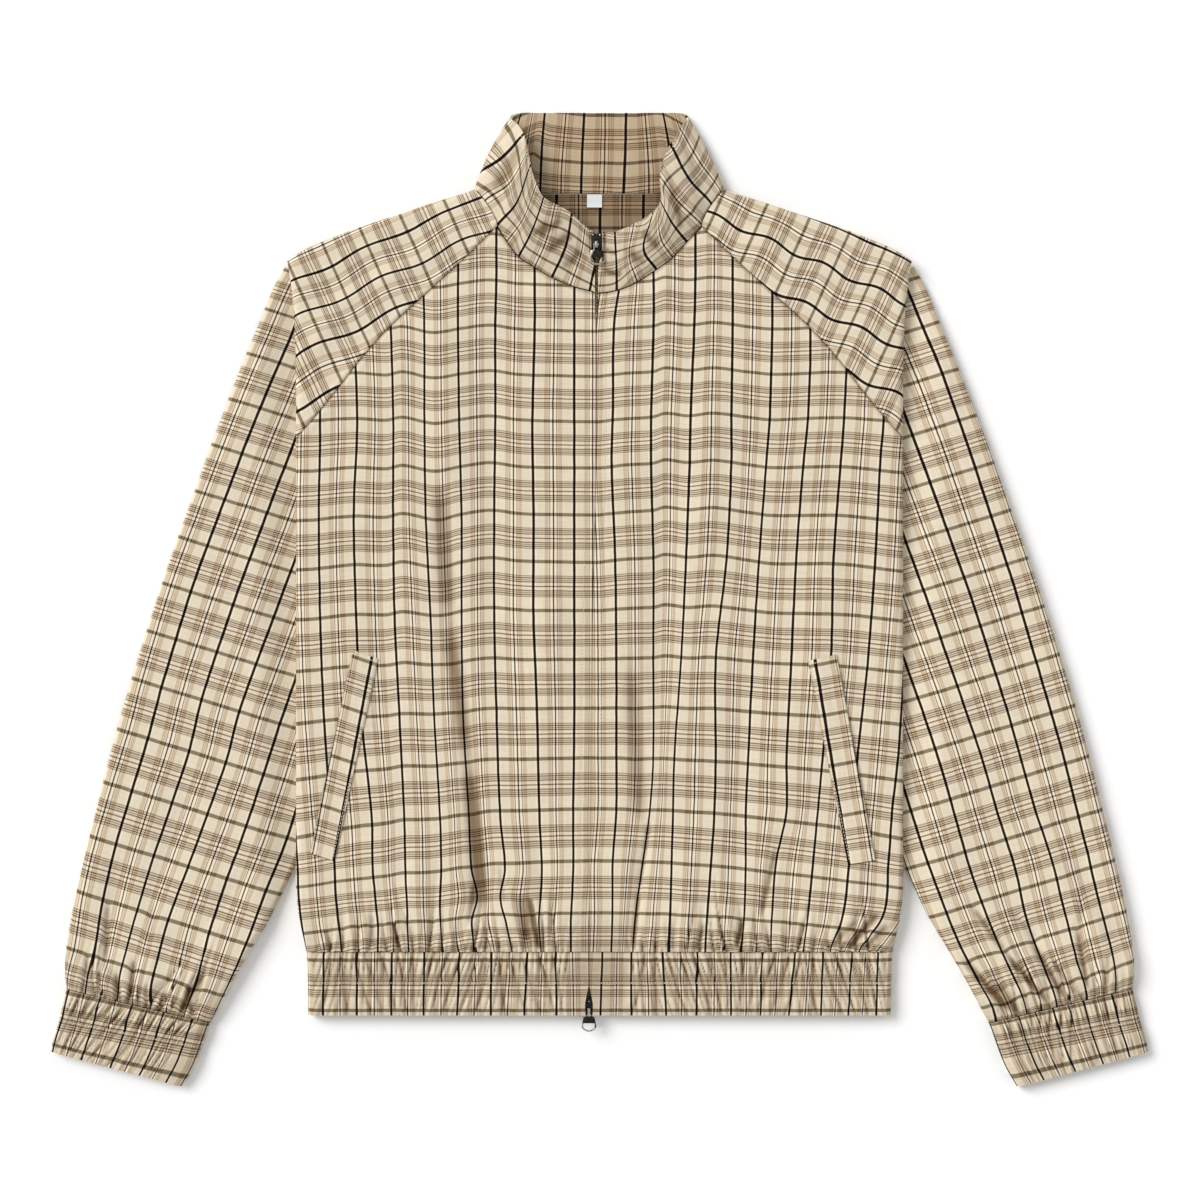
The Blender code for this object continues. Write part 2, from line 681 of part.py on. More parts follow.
def collar():
    right, left = collar_half(-1), collar_half(1)
    middle_walk = max(right[-1][0], left[-1][0]) + 20
    middle = [Vector((0.0, mix(BACK_NECK_Y + SEAM, COLLAR_TOP_Y, step), 0.0)) for step in COLLAR_STEPS]
    columns = right + [(middle_walk, middle)]
    columns += [(2 * middle_walk - walk, column) for walk, column in left[::-1]]
    rows = [[(walk, tuple(column[k])) for walk, column in columns] for k in range(len(COLLAR_STEPS))]
    return skin("collar", rows, COLLAR_WALL, CLOTH, flip=True)


# ---------------------------------------------------------------- trims laid on the cloth
WELT_ROWS, WELT_COLUMNS = 15, 4


def surface_of(piece):
    """The finished skin of a piece, to lay something on."""
    seen = piece.evaluated_get(bpy.context.evaluated_depsgraph_get())
    return BVHTree.FromObject(seen, bpy.context.evaluated_depsgraph_get())


def welt(side, panel, name):
    """A pocket welt: a strip stitched on the front, its points taken from the panel's and moved out."""
    tree = surface_of(panel)
    inner_top, outer_top, outer_end, inner_end = (Vector(corner) for corner in WELTS[side])
    rows = []
    for n in range(WELT_ROWS):
        row = []
        for k in range(WELT_COLUMNS):
            across = k / (WELT_COLUMNS - 1)
            start, end = inner_top.lerp(outer_top, across), inner_end.lerp(outer_end, across)
            spot = start.lerp(end, n / (WELT_ROWS - 1))
            above = Vector((spot.x, spot.y, 60.0)) * METRES
            hit = tree.ray_cast(above, Vector((0, 0, -1)))[0]
            row.append((k, (spot.x, spot.y, hit.z / METRES + CLEAR + WELT_WALL)))
        rows.append(row)
    outward_is_left = outer_top.x < inner_top.x
    return skin(name, rows, WELT_WALL, CLOTH, flip=not outward_is_left)


def size_label():
    """A bare woven tab hung from the back neck seam, lying on the inside of the back."""
    top_y, low_y = BACK_NECK_Y - SEAM, BACK_NECK_Y - 11.5
    z = BODY_WALL + CLEAR + LABEL_WALL
    rows = [[(x, (x, y, z)) for x in (-10.5, -4.2, 2.1)] for y in (low_y, mix(low_y, top_y, 0.5), top_y)]
    return skin("size_label", rows, LABEL_WALL, LABEL)


# ---------------------------------------------------------------- zip
CHAIN_HALF = 2.6
CHAIN_HEIGHT = 2.4
TAPE_HALF = 12.0
TAPE_WALL = 1.0
ZIP_TOP_Y = 299.0
ZIP_STEPS = 30
ZIP_LOW_Y = -338.0
SLIDER_LENGTH = 14.0
PLATE = 1.2
PLATE_GAP = 3.4                 # between the slider's two plates, for the chain
HINGE_RISE = 2.2                # the pull's hinge above the slider's upper plate
BAIL = 1.2
PULL_THICK = 1.4
PULL_EYE = 4.2                  # how far from its hinge a pull's eye reaches, past the bail's corner
PULL_NECK = 2.4                 # half widths of the pull beside its eye and below it
PULL_BLOCK = 4.6
TOP_SLIDER = (-2.6, 298.5)      # the middle of each slider, seen from above
LOW_SLIDER = (-8.8, -341.0)


def chain_z(y):
    """The level of the middle of the zip's tape, hung just under the two front edges."""
    if y > 255:
        edge = mix(front_z(-2.6, 255), 19.5, ease(250, 306, y)) - COLLAR_WALL
    elif y > HEM_SEAM_Y - 4:
        edge = front_z(read(CENTRE_FRONT, "y", "x", y), y) - BODY_WALL
        edge -= (HEM_WALL - BODY_WALL) * ease(HEM_SEAM_Y + 25, HEM_SEAM_Y + 4, y)
        edge -= (COLLAR_WALL - BODY_WALL) * ease(235, 253, y)
    else:
        edge = HEM_HEIGHT - HEM_WALL - 1.7
    return edge - CLEAR - CHAIN_HEIGHT / 2


def zip_tape():
    """The zip's two tapes and its closed chain, as one strip behind the front edges."""
    half_profile = ((CHAIN_HALF, 1), (CHAIN_HALF, 0), (TAPE_HALF, 0))
    ys = [mix(ZIP_LOW_Y, ZIP_TOP_Y, n / ZIP_STEPS) for n in range(ZIP_STEPS + 1)]
    work = bmesh.new()
    loops = []
    for y in ys:
        x, z = read(CENTRE_FRONT, "y", "x", y), chain_z(y)
        outline = []
        for sign, order in ((1, 1), (1, -1), (-1, 1), (-1, -1)):
            part = half_profile[::1] if order > 0 else half_profile[::-1]
            for reach, high in part:
                rise = CHAIN_HEIGHT / 2 if high else TAPE_WALL / 2
                outline.append((x + sign * reach, y, z + sign * order * rise))
        loops.append([work.verts.new(Vector(point) * METRES) for point in outline])
    count = len(loops[0])
    for low, high in zip(loops, loops[1:]):
        for k in range(count):
            work.faces.new((low[k], low[(k + 1) % count], high[(k + 1) % count], high[k]))
    work.faces.new(loops[0][::-1])
    work.faces.new(loops[-1])
    bmesh.ops.recalc_face_normals(work, faces=work.faces)
    bmesh.ops.triangulate(work, faces=work.faces)
    mesh = bpy.data.meshes.new("zip_tape")
    work.to_mesh(mesh)
    work.free()
    return finish_object("zip_tape", mesh, TAPE, 30)


def plate(outline, low, high):
    """A flat plate as a bmesh, from an outline of (x, y), counter-clockwise, and two levels."""
    work = bmesh.new()
    face = work.faces.new([work.verts.new(Vector((x, y, low)) * METRES) for x, y in outline])
    grown = bmesh.ops.extrude_face_region(work, geom=[face])
    lifted = [item for item in grown["geom"] if isinstance(item, bmesh.types.BMVert)]
    bmesh.ops.translate(work, verts=lifted, vec=Vector((0, 0, high - low)) * METRES)
    bmesh.ops.recalc_face_normals(work, faces=work.faces)
    return work


def put(work, name, finish=None, at=(0, 0, 0), hidden=False):
    """Make an object of a bmesh, as a piece of the jacket or as a hidden cutter."""
    bmesh.ops.translate(work, verts=work.verts, vec=Vector(at) * METRES)
    mesh = bpy.data.meshes.new(name)
    work.to_mesh(mesh)
    work.free()
    if not hidden:
        return finish_object(name, mesh, finish, 35)
    tool = bpy.data.objects.new(name, mesh)
    CUTTERS.objects.link(tool)
    tool.hide_render = True
    tool.display_type = "WIRE"
    return tool


def combine(piece, tool, how):
    joined = piece.modifiers.new(tool.name, "BOOLEAN")
    joined.operation = how
    joined.solver = "EXACT"
    joined.object = tool


def box(x, y, z):
    """A box as a bmesh, from its lowest and highest x, y and z."""
    return plate(((x[0], y[0]), (x[1], y[0]), (x[1], y[1]), (x[0], y[1])), *z)


def slider(name, at, nose):
    """A two-plate slider; `nose` is +1 where its wide end points to the collar and -1 to the hem."""
    x, y = at
    z = chain_z(y)
    reach = SLIDER_LENGTH / 2
    outline = [(-3.2, -reach), (3.2, -reach), (4.2, -1.5), (5.2, 3.0), (4.6, reach - 0.8), (2.6, reach),
               (0.0, reach - 1.4), (-2.6, reach), (-4.6, reach - 0.8), (-5.2, 3.0), (-4.2, -1.5)]
    if nose < 0:
        outline = [(-px, -py) for px, py in outline]
    gap = PLATE_GAP / 2
    upper = put(plate(outline, gap, gap + PLATE), name, METAL, (x, y, z))
    tools = [put(plate(outline, -gap - PLATE, -gap), name + "_lower", at=(x, y, z), hidden=True)]
    post_y = sorted((nose * (reach - 5.0), nose * (reach - 2.2)))
    work = box((-1.0, 1.0), post_y, (-gap - 0.5, gap + 0.5))
    tools.append(put(work, name + "_post", at=(x, y, z), hidden=True))
    hinge_y, hinge_z = hinge_place(nose)
    legs = (hinge_y + 1.5, hinge_y + 1.5 + BAIL), (hinge_y - 1.5 - BAIL, hinge_y - 1.5)
    roof = hinge_z + PULL_THICK / 2 + CLEAR
    for number, leg in enumerate(legs):
        work = box((-1.0, 1.0), leg, (gap + 0.4, roof + 0.5))
        tools.append(put(work, name + f"_leg_{number}", at=(x, y, z), hidden=True))
    work = box((-1.0, 1.0), (legs[1][0], legs[0][1]), (roof, roof + BAIL))
    tools.append(put(work, name + "_bridge", at=(x, y, z), hidden=True))
    for tool in tools:
        combine(upper, tool, "UNION")
    return upper


def hinge_place(nose):
    """The pull's hinge on its slider, along Y and up from the middle of the chain."""
    along = -3.4 if nose > 0 else -3.6
    return along, PLATE_GAP / 2 + PLATE + HINGE_RISE


def arc(center, radius_x, radius_y, start, end, count):
    """Points on part of an ellipse, from one angle to another in degrees."""
    angles = [mix(start, end, n / (count - 1)) * pi / 180 for n in range(count)]
    return [(center[0] + radius_x * cos(a), center[1] + radius_y * sin(a)) for a in angles]


def pull(name, at, nose):
    """A pull tab: a loop under the slider's bridge, a solid neck and an open ring. It turns about X."""
    x, y = at
    along, up = hinge_place(nose)
    hinge = bpy.data.objects.new(name + "_hinge", None)
    JACKET.objects.link(hinge)
    hinge.location = Vector((x, y + along, chain_z(y) + up)) * METRES
    half = PULL_THICK / 2
    outline = [(-PULL_NECK, half), (-PULL_NECK, -PULL_EYE), (-PULL_BLOCK, -PULL_EYE - 0.7)]
    outline += arc((0, -12.3), 6.2, 4.7, 160, 380, 13)
    outline += [(PULL_BLOCK, -PULL_EYE - 0.7), (PULL_NECK, -PULL_EYE), (PULL_NECK, half)]
    piece = put(plate(outline, -half, half), name, METAL)
    ring_hole = arc((0, -11.6), 4.9, 4.1, 180, 360, 11) + [(4.5, -9.9), (-4.5, -9.9)]
    eye = ((-1.5, -PULL_EYE), (1.5, -PULL_EYE), (1.5, -half), (-1.5, -half))
    for suffix, hole in (("_ring", ring_hole), ("_eye", eye)):
        tool = put(plate(hole, -PULL_THICK, PULL_THICK), name + suffix, hidden=True)
        tool.parent = hinge
        combine(piece, tool, "DIFFERENCE")
    piece.parent = hinge
    return piece


# ---------------------------------------------------------------- the whole jacket
def clear_scene():
    for thing in list(bpy.data.objects):
        bpy.data.objects.remove(thing, do_unlink=True)


def collection(name):
    made = bpy.data.collections.new(name)
    bpy.context.scene.collection.children.link(made)
    return made


clear_scene()
JACKET = collection("track_jacket")
CUTTERS = collection("cutters")

front_right = front(-1, "front_right")
front_left = front(1, "front_left")
back_panel()
hem_band()
collar()
for wearer_side, half in (("right", -1), ("left", 1)):
    sleeve_shoulder(half, f"sleeve_{wearer_side}_shoulder")
    sleeve_arm(half, f"sleeve_{wearer_side}_arm")
    cuff(half, f"cuff_{wearer_side}")
bpy.context.view_layer.update()
welt(-1, front_right, "pocket_welt_right")
welt(1, front_left, "pocket_welt_left")
size_label()
zip_tape()
slider("zip_slider_top", TOP_SLIDER, 1)
slider("zip_slider_bottom", LOW_SLIDER, -1)
pull("zip_pull_top", TOP_SLIDER, 1)
pull("zip_pull_bottom", LOW_SLIDER, -1)
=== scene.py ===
"""The looks of a checked, zip-front track jacket that lies flat on its back on a pale floor.

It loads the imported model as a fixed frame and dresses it: thin cloth shells in the form of the cloth
solids, with their folds, gathers and check, then the sewing, the zip and a plain studio. X is to the
right as one looks down on the front, where the wearer's left sleeve lies, Y runs towards the collar
and Z is up. Sizes are in millimetres until a mesh is made, which is in metres.

`side` is +1 for the wearer's left half and -1 for the right one, and `out` is a distance from the
middle of the jacket, the same on both halves.
"""
from math import pi, radians

import bpy
import numpy as np
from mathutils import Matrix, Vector


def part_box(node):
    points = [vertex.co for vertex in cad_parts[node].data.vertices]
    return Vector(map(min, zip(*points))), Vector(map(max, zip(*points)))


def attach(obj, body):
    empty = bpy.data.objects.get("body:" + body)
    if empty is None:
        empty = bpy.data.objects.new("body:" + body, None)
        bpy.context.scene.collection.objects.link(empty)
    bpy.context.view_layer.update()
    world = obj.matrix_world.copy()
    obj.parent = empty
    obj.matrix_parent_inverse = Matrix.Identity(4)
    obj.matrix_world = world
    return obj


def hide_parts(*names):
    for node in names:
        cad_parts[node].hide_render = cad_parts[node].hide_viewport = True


bl_info = {
    "name": "Track Jacket",
    "version": (1, 0, 0),
    "blender": (4, 5, 0),
    "location": "View3D > Sidebar > Jacket",
    "description": "Cloth, sewing, zip and studio for a checked track jacket laid flat",
    "category": "Object",
}

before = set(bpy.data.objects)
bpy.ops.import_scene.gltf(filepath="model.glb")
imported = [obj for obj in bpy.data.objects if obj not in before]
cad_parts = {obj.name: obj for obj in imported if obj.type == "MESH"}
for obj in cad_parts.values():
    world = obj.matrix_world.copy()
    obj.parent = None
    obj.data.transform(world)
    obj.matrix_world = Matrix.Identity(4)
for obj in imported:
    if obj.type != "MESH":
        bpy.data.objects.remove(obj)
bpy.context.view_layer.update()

MM = 0.001
HALVES = (("right", -1), ("left", 1))

# ---------------------------------------------------------------- sizes of the cut, in millimetres
HEM_SEAM_Y = -295.0
HEM_EDGE_Y = -348.0
BACK_NECK_Y = 340.0
CHEST_HALF = 253.7          # half the chest's width, fold to fold
ARMPIT_Y = 134.0
TIP_OUT, TIP_Y = 261.0, 282.5   # the shoulder's tip
TIP_BEND = 4.0              # how late the fold line turns out to the tip
NECK_BEND = 1.5             # the same where the collar's seam goes over the shoulder
SHOULDER_LEAN = 0.93        # cosine of the shoulder line's slope
NECK_OUT = 85.5             # where the front raglan seam meets the collar
BACK_NECK_OUT = 70.0        # where the back raglan seam meets the collar
WELT_WIDTH, WELT_LENGTH = 22.0, 172.0
CUFF_WIDTH = 122.0
COLLAR_STAND = 66.0         # how high the collar stands off its seam
BACK_WALK = 150.0           # along the collar's seam, where it turns from the side of the neck to its back

BODY_WALL = 1.2
COLLAR_WALL = 2.0
HEM_WALL = 2.5
CUFF_WALL = 2.5
WELT_WALL = 1.3
SLIT = 0.25                 # from the line of a seam to the cloth on each side of it
ARM_SLIT, CUFF_SLIT = (0.06, 0.24), (-0.06, -0.245)     # the same along X and Y at a cuff's slanting seam
CLEAR = 0.4                 # gap between two layers that lie on each other

ROLL = 6.0                  # how far in from a fold the cloth takes to turn over
HEM_HEIGHT = 12.5
HEM_TURN = 6.2              # radius by which the check goes round the hem's side
CUFF_HEIGHT = 11.0
UNDER_BODY = 6.0            # an arm's height where the body lies on it
RISE = 20.0                 # how far the back takes to climb onto an arm
RISE_AHEAD = 23.0           # how far before the arm's edge it is up

FLAT_TAB = 24.0             # the hem's flat end beside the zip

WARP_REPEAT = 36.5          # from one black line of the check to the next
WEFT_REPEAT = 40.8          # from one grey line to the next
# The same beyond the lines that the tables below place, where the cloth is drawn together or lies aslant.
FRONT_PITCH, ARM_PITCH, SHOULDER_PITCH = (31.0, 38.5), (35.0, 44.0), (36.0, 37.0)
HEM_PITCH, CUFF_PITCH, COLLAR_PITCH = (28.5, 42.0), 0.22, 35.0

# Rows and columns of points in each mesh, those round a fold left out. Puckers take the close ones.
FRONT_GRID, BACK_GRID, SHOULDER_GRID, ARM_GRID = (222, 196), (104, 46), (64, 44), (208, 88)
HEM_GRID, CUFF_GRID, COLLAR_ROWS, COLLAR_STEP = (40, 230), (44, 120), 42, 2.2
WELT_GRID, TAPE_GRID, LABEL_GRID = (90, 16), (150, 17), (12, 12)
HEM_BACK_COLUMNS, UNDER_COLUMNS = 40, 22


def table(names, *rows):
    """Rows of a table as dictionaries, by the names of its columns."""
    return [dict(zip(names.split(), row)) for row in rows]


# ---------------------------------------------------------------- outlines, seen from above
BODY_EDGE = table(
    "y out",
    (-348, 244), (-300, 245), (-288, 247), (-268, 250.8), (-243, CHEST_HALF), (-200, CHEST_HALF),
)
SHOULDER = table(
    "out y",
    (105, 343), (111, 340.5), (140, 331.5), (169, 321.5), (201, 311), (226, 301.2), (248, 291.2),
    (TIP_OUT, TIP_Y),
)
FRONT_RAGLAN = table(
    "out y",
    (NECK_OUT, 311), (114, 283), (143, 256.5), (171, 231), (195, 205), (218, 176), (237, 152.5),
    (CHEST_HALF, ARMPIT_Y),
)
BACK_RAGLAN = table(
    "out y",
    (BACK_NECK_OUT, 338), (100, 303), (143, 257), (195, 203), (237, 152), (CHEST_HALF, ARMPIT_Y),
)
COLLAR_SEAM = table(
    "x y",
    (-86, 310.5), (-69, 287), (-54, 276.5), (-41, 268.5), (-22, 260.5), (-8, 257), (0, 255),
    (17, 258), (31, 264), (48, 275), (62, 285.5), (75, 300), (86, 310.5),
)
CENTRE_FRONT = table("y x", (-348, -8.8), (-295, -8.8), (-43, -6.3), (133, -2.6), (306, -2.6))
ZIP_GAP = table(            # how far apart the two front edges lie
    "y gap",
    (-348, 6.0), (-338, 6.4), (-329, 3.0), (-322, 0.8), (200, 0.8), (224, 0.9), (238, 2.8),
    (276, 2.8), (282, 5.0), (289, 11.4), (307, 11.4),
)
ARM_INNER = table(          # an arm's inner edge, hidden by the body above y = -222
    "y out",
    (-355, 326), (-329, 312), (-310, 302), (-274, 280), (-253, 268), (-222, 253), (-145, 222),
    (-60, 197), (20, 185), (90, 185), (150, 200), (200, 221), (250, 245), (280, 262),
)

# ---------------------------------------------------------------- heights above the floor
BODY_HEIGHT = table(
    "y height",
    (-295, 12.5), (-284, 14.0), (-262, 16.0), (-200, 16.5), (0, 17.0), (150, 17.5), (240, 17.5),
    (311, 16.5), (341, 13.5),
)
FRONT_FOLDS = table(        # long soft ridges and troughs; the height of a trough is below nought
    "x1 y1 x2 y2 width height",
    (-134, 262, -128, 60, 13, 2.0),
    (-92, 205, -84, -60, 12, -1.8),
    (55, 110, 52, -105, 14, -2.6),
    (92, 180, 84, 20, 12, 1.6),
    (-40, 40, -52, -150, 14, 1.8),
    (-190, 60, -176, -120, 14, -1.6),
    (188, 70, 180, -100, 14, 1.8),
    (120, -60, 112, -250, 13, -2.0),
    (-100, -200, -95, -292, 8, -2.6),
    (-52, -190, -48, -292, 8, -2.4),
    (36, -200, 27, -292, 8, -2.8),
    (70, -215, 74, -292, 8, 2.0),
    (-150, -205, -154, -292, 9, 2.2),
    (160, -195, 152, -292, 9, -2.2),
    (214, -215, 208, -290, 9, 2.0),
    (60, 262, 30, 232, 8, 1.6),
    (-60, 262, -36, 236, 8, 1.4),
)
SHOULDER_FOLDS = table(     # the same on both halves
    "out1 y1 out2 y2 width height",
    (120, 300, 190, 262, 10, 1.4),
    (150, 300, 236, 250, 10, -1.6),
    (205, 262, 246, 196, 9, 1.6),
)
ARM_FOLDS = {               # by side: the right arm lies smoother
    +1: table(
        "out1 y1 out2 y2 width height",
        (275, 215, 315, 95, 9, 1.8),
        (300, 60, 352, -60, 10, -1.8),
        (300, -70, 390, -130, 10, 1.8),
        (330, -160, 415, -205, 10, -2.0),
        (300, -215, 380, -285, 9, -2.6),
        (352, -205, 425, -268, 9, 2.4),
        (395, -215, 440, -290, 9, -2.6),
        (318, -262, 352, -335, 8, 2.2),
        (360, -270, 392, -330, 8, -2.4),
        (410, -270, 430, -322, 8, 2.2),
    ),
    -1: table(
        "out1 y1 out2 y2 width height",
        (275, 215, 315, 95, 9, 1.4),
        (345, -165, 380, -265, 11, -1.8),
        (402, -220, 411, -300, 9, -2.4),
        (300, -235, 345, -305, 9, -2.0),
        (318, -262, 352, -335, 8, 2.0),
        (368, -262, 384, -330, 8, 2.0),
    ),
}

# An arm's rows run across it, from the cuff's seam up to the shoulder's tip.
ARM_ROWS = table(
    "outer_x outer_y inner_x inner_y height",
    (446.6, -326.2, 326.2, -354.8, CUFF_HEIGHT),
    (447.2, -319, 321.5, -346.5, 12.5),
    (447.6, -310, 316, -336, 14.0),
    (447.0, -297, 307, -319.5, 15.0),
    (443.5, -274, 291.5, -293, 15.0),
    (438.5, -248, 277, -269, 14.5),
    (430.0, -211, 261.5, -237, 14.0),
    (419.5, -169, 242.5, -197, 14.0),
    (408.5, -125, 226, -156, 13.5),
    (395.6, -79, 208.5, -106, 13.5),
    (379.5, -27, 193, -42, 13.0),
    (361.5, 28, 185, 24, 13.0),
    (341.5, 84, 185, 84, 12.5),
    (322.5, 137, 196, 142, 12.0),
    (303.0, 188, 216, 191, 11.5),
    (285.5, 231, 238, 236, 11.0),
    (272.5, 263, 250, 262, 9.5),
    (263.5, 279, 257, 275, 8.0),
)
CUFF_ROWS = table(
    "step outer_x outer_y inner_x inner_y swell",
    (0, 446.6, -326.2, 326.2, -354.8, 0.0),
    (1, 449.6, -339.5, 329.4, -363.5, 1.0),
    (2, 452.8, -352.5, 333.6, -375.5, -0.2),
    (3, 456.8, -366.0, 340.0, -391.5, 1.0),
    (4, 460.0, -378.5, 349.5, -408.0, -0.2),
)
HEM_ROWS = table(
    "step y swell",
    (0, HEM_SEAM_Y, 0.0), (1, -308, 1.0), (2, -321, -0.2), (3, -335, 1.0), (4, HEM_EDGE_Y, -0.2),
)

# The collar's top edge, against the distance walked along its seam from the zip.
COLLAR_TOP = {
    +1: table(
        "walk out y z",
        (0, 1, 306, 19.0), (16, 11, 305.5, 19.6), (28, 20, 308.5, 21.3), (40, 31, 313.5, 23),
        (53, 42, 320, 24.5), (67, 49, 327.5, 25.5), (80, 51, 336, 26), (94, 50, 347, 26),
        (107, 51.5, 360, 25), (121, 57, 375, 22.5), (131, 63.5, 387, 19), (138, 69.5, 396, 14),
        (143, 74.5, 402, 8), (148, 72.5, 406.5, 3), (155, 66, 408, 0.2), (178, 50, 408, 0.0),
        (205, 30, 408, 0.0), (248, 0, 408, 0.0),
    ),
    -1: table(
        "walk out y z",
        (0, 6, 306, 19.0), (12, 13, 312, 19.6), (24, 21, 319, 21.3), (36, 31, 326, 23),
        (49, 41, 330.5, 24.5), (62, 47.5, 335, 25.5), (76, 51, 342, 26), (90, 55, 352, 26),
        (102, 57.5, 362, 25), (117, 60, 376, 22.5), (127, 63.5, 388, 19), (134, 69, 397, 14),
        (139, 74.5, 402.5, 8), (144, 73, 406.5, 3), (151, 66, 408, 0.2), (174, 50, 408, 0.0),
        (200, 30, 408, 0.0), (246, 0, 408, 0.0),
    ),
}
COLLAR_BOW = table(         # how far the middle of the collar stands out from a straight line
    "walk bow",
    (0, 0.0), (15, 0.8), (40, 2.5), (80, 3.5), (107, 4.0), (130, 3.6), (142, 2.8), (154, 0.0), (250, 0.0),
)
WELTS = {                   # corners of the pocket welts: top inner, top outer, low outer, low inner
    -1: ((-184.5, -50.0), (-205.5, -42.5), (-241.5, -212.0), (-221.0, -218.5)),
    +1: ((173.5, -51.5), (197.5, -46.5), (230.0, -218.0), (207.0, -221.5)),
}

# ---------------------------------------------------------------- where the check's lines lie
# Black lines down each front, from the side to the zip on the right one and from the zip to the side
# on the left one, as distances from the middle of the jacket.
FRONT_WARPS = {
    -1: table(
        "y h g f e d c b a",
        (-294, 24, 49, 73, 104, 131, 160, 186, 215),
        (-270, 24, 51, 78, 107, 133, 160, 185, 218),
        (-249, 23, 49, 83, 102, 133, 161, 187, 220),
        (-225, 22, 48, 79, 107, 132, 162, 189, 221),
        (-181, 22, 50, 83, 109, 133, 163, 190, 224),
        (-95, 21, 52, 86, 114, 138, 167, 199, 230),
        (-13, 21, 55, 88, 115, 141, 171, 203, 233),
        (70, 21, 55, 88, 115, 145, 172, 205, 234),
        (150, 21, 56, 87, 117, 146, 172, 202, 233),
        (226, 21, 54, 87, 118, 146, 174, 205, 235),
        (264, 21, 54, 86, 118, 147, 177, 207, 237),
    ),
    +1: table(
        "y i j k l m n o p q",
        (-294, 10, 28, 58, 89, 118, 143, 171, 193, 217),
        (-263, 11, 30, 59, 90, 121, 144, 174, 203, 237),
        (-221, 11, 36, 60, 93, 122, 147, 178, 208, 241),
        (-177, 14, 42, 61, 96, 122, 156, 182, 212, 244),
        (-133, 14, 45, 62, 97, 124, 156, 186, 215, 249),
        (-49, 14, 45, 68, 97, 128, 160, 193, 224, 255),
        (33, 13, 45, 72, 106, 133, 164, 195, 230, 261),
        (113, 10, 43, 75, 110, 139, 170, 201, 234, 265),
        (153, 11, 43, 76, 110, 142, 174, 204, 237, 268),
        (227, 12, 45, 79, 111, 144, 176, 207, 238, 269),
        (264, 17, 45, 80, 111, 144, 175, 206, 237, 268),
    ),
}
# Grey lines where they meet the zip, from the hem up.
ZIP_WEFTS = (-262.1, -218.4, -175.1, -132.6, -91.1, -50.4, -9.7, 30.7, 70.1, 109.2, 147.8, 185.6, 223.4,
             261.2)
WEFT_DROP = table(          # how far they have sunk at the side folds
    "y drop",
    (-262, 18.5), (-218, 25.6), (-175, 21.4), (-133, 16.8), (-91, 12.2), (-50, 10.1), (-10, 8.0),
    (31, 7.1), (70, 5.5), (109, 3.4), (148, 0.0),
)
WEFT_WAVES = {              # how far they rise over the long folds
    -1: table(
        "out lift",
        (2, 0.0), (29, 0.4), (65, 1.7), (89, 5.0), (113, 2.1), (136, -1.3), (162, 3.8), (176, 1.3),
        (203, 2.9), (237, 0.8),
    ),
    +1: table(
        "out lift",
        (2, 0.0), (23, 2.5), (47, 4.2), (57, 7.1), (76, 5.0), (97, 7.1), (126, 3.8), (147, 1.7),
        (202, 3.4), (252, 0.0),
    ),
}
WAVE_FADE = {
    -1: table("y share", (-85, 0.4), (33, 1.0)),
    +1: table("y share", (-135, 0.1), (-51, 0.5), (33, 1.0)),
}
# Black lines down an arm, by their distance in from its outer edge, against the weft's level, which
# is y less 0.31 of `out`, since the weft runs down towards the body.
ARM_SLOPE = 0.31
ARM_WARPS = {
    -1: table(
        "level v w x y z",
        (-464, 18, 45, 74, 102, 126), (-429, 25, 50, 78, 114, 139), (-380, 24, 54, 81, 117, 149),
        (-330, 24, 57, 87, 121, 155), (-281, 26, 61, 92, 126, 161), (-233, 28, 64, 96, 129, 163),
        (-187, 27, 62, 95, 130, 164), (-100, 26, 63, 98, 132, 166), (-14, 27, 64, 99, 133, 168),
        (114, 29, 65, 100, 134, 169),
    ),
    +1: table(
        "level v w x y z",
        (-465, 16, 41, 67, 92, 118), (-429, 19, 49, 76, 103, 130), (-380, 22, 52, 84, 114, 144),
        (-330, 22, 53, 84, 120, 151), (-281, 22, 56, 87, 122, 155), (-233, 22, 57, 88, 123, 157),
        (-187, 22, 57, 90, 124, 158), (-100, 20, 57, 92, 126, 160), (-14, 18, 57, 92, 126, 160),
        (114, 15, 56, 92, 126, 160),
    ),
}
ARM_WEFTS = {
    -1: (-429.1, -379.5, -330.0, -281.2, -233.4, -187.2, -143.5, -99.8, -57.0, -14.1, 28.7, 71.6, 114.4,
         156.4, 194.0),
    +1: (-441.0, -397.3, -351.7, -306.0, -258.0, -212.0, -165.3, -120.9, -76.5, -32.1, 12.0, 56.0, 99.4,
         143.8, 186.7),
}
# Lines on the shoulders, in a frame turned along the shoulder.
SHOULDER_WARPS = {-1: (213.0, 249.2, 289.5, 318.1, 346.7), +1: (222.0, 257.6, 294.6, 330.7, 364.3)}
SHOULDER_WEFTS = {-1: (-20.1, 18.6, 53.8, 87.4, 120.2, 164.7), +1: (-9.2, 27.8, 63.1, 95.8, 130.3, 167.0)}
HEM_WARPS = {               # at the band's seam and at its lower edge
    -1: table(
        "y a b c d e f g h",
        (-348, 36, 63, 91, 119, 147, 174, 203, 231), (-295, 37, 60.5, 91, 117, 147, 174, 203, 231),
    ),
    +1: table(
        "y a b c d e f g h i j",
        (-348, 0.8, 26.5, 56, 81, 110, 134.5, 158, 185, 208, 231),
        (-295, 2.5, 26.5, 53, 82, 110, 136, 164, 187, 211, 233),
    ),
}
HEM_WEFTS = (-385.6, -343.6, -301.6, -259.6)


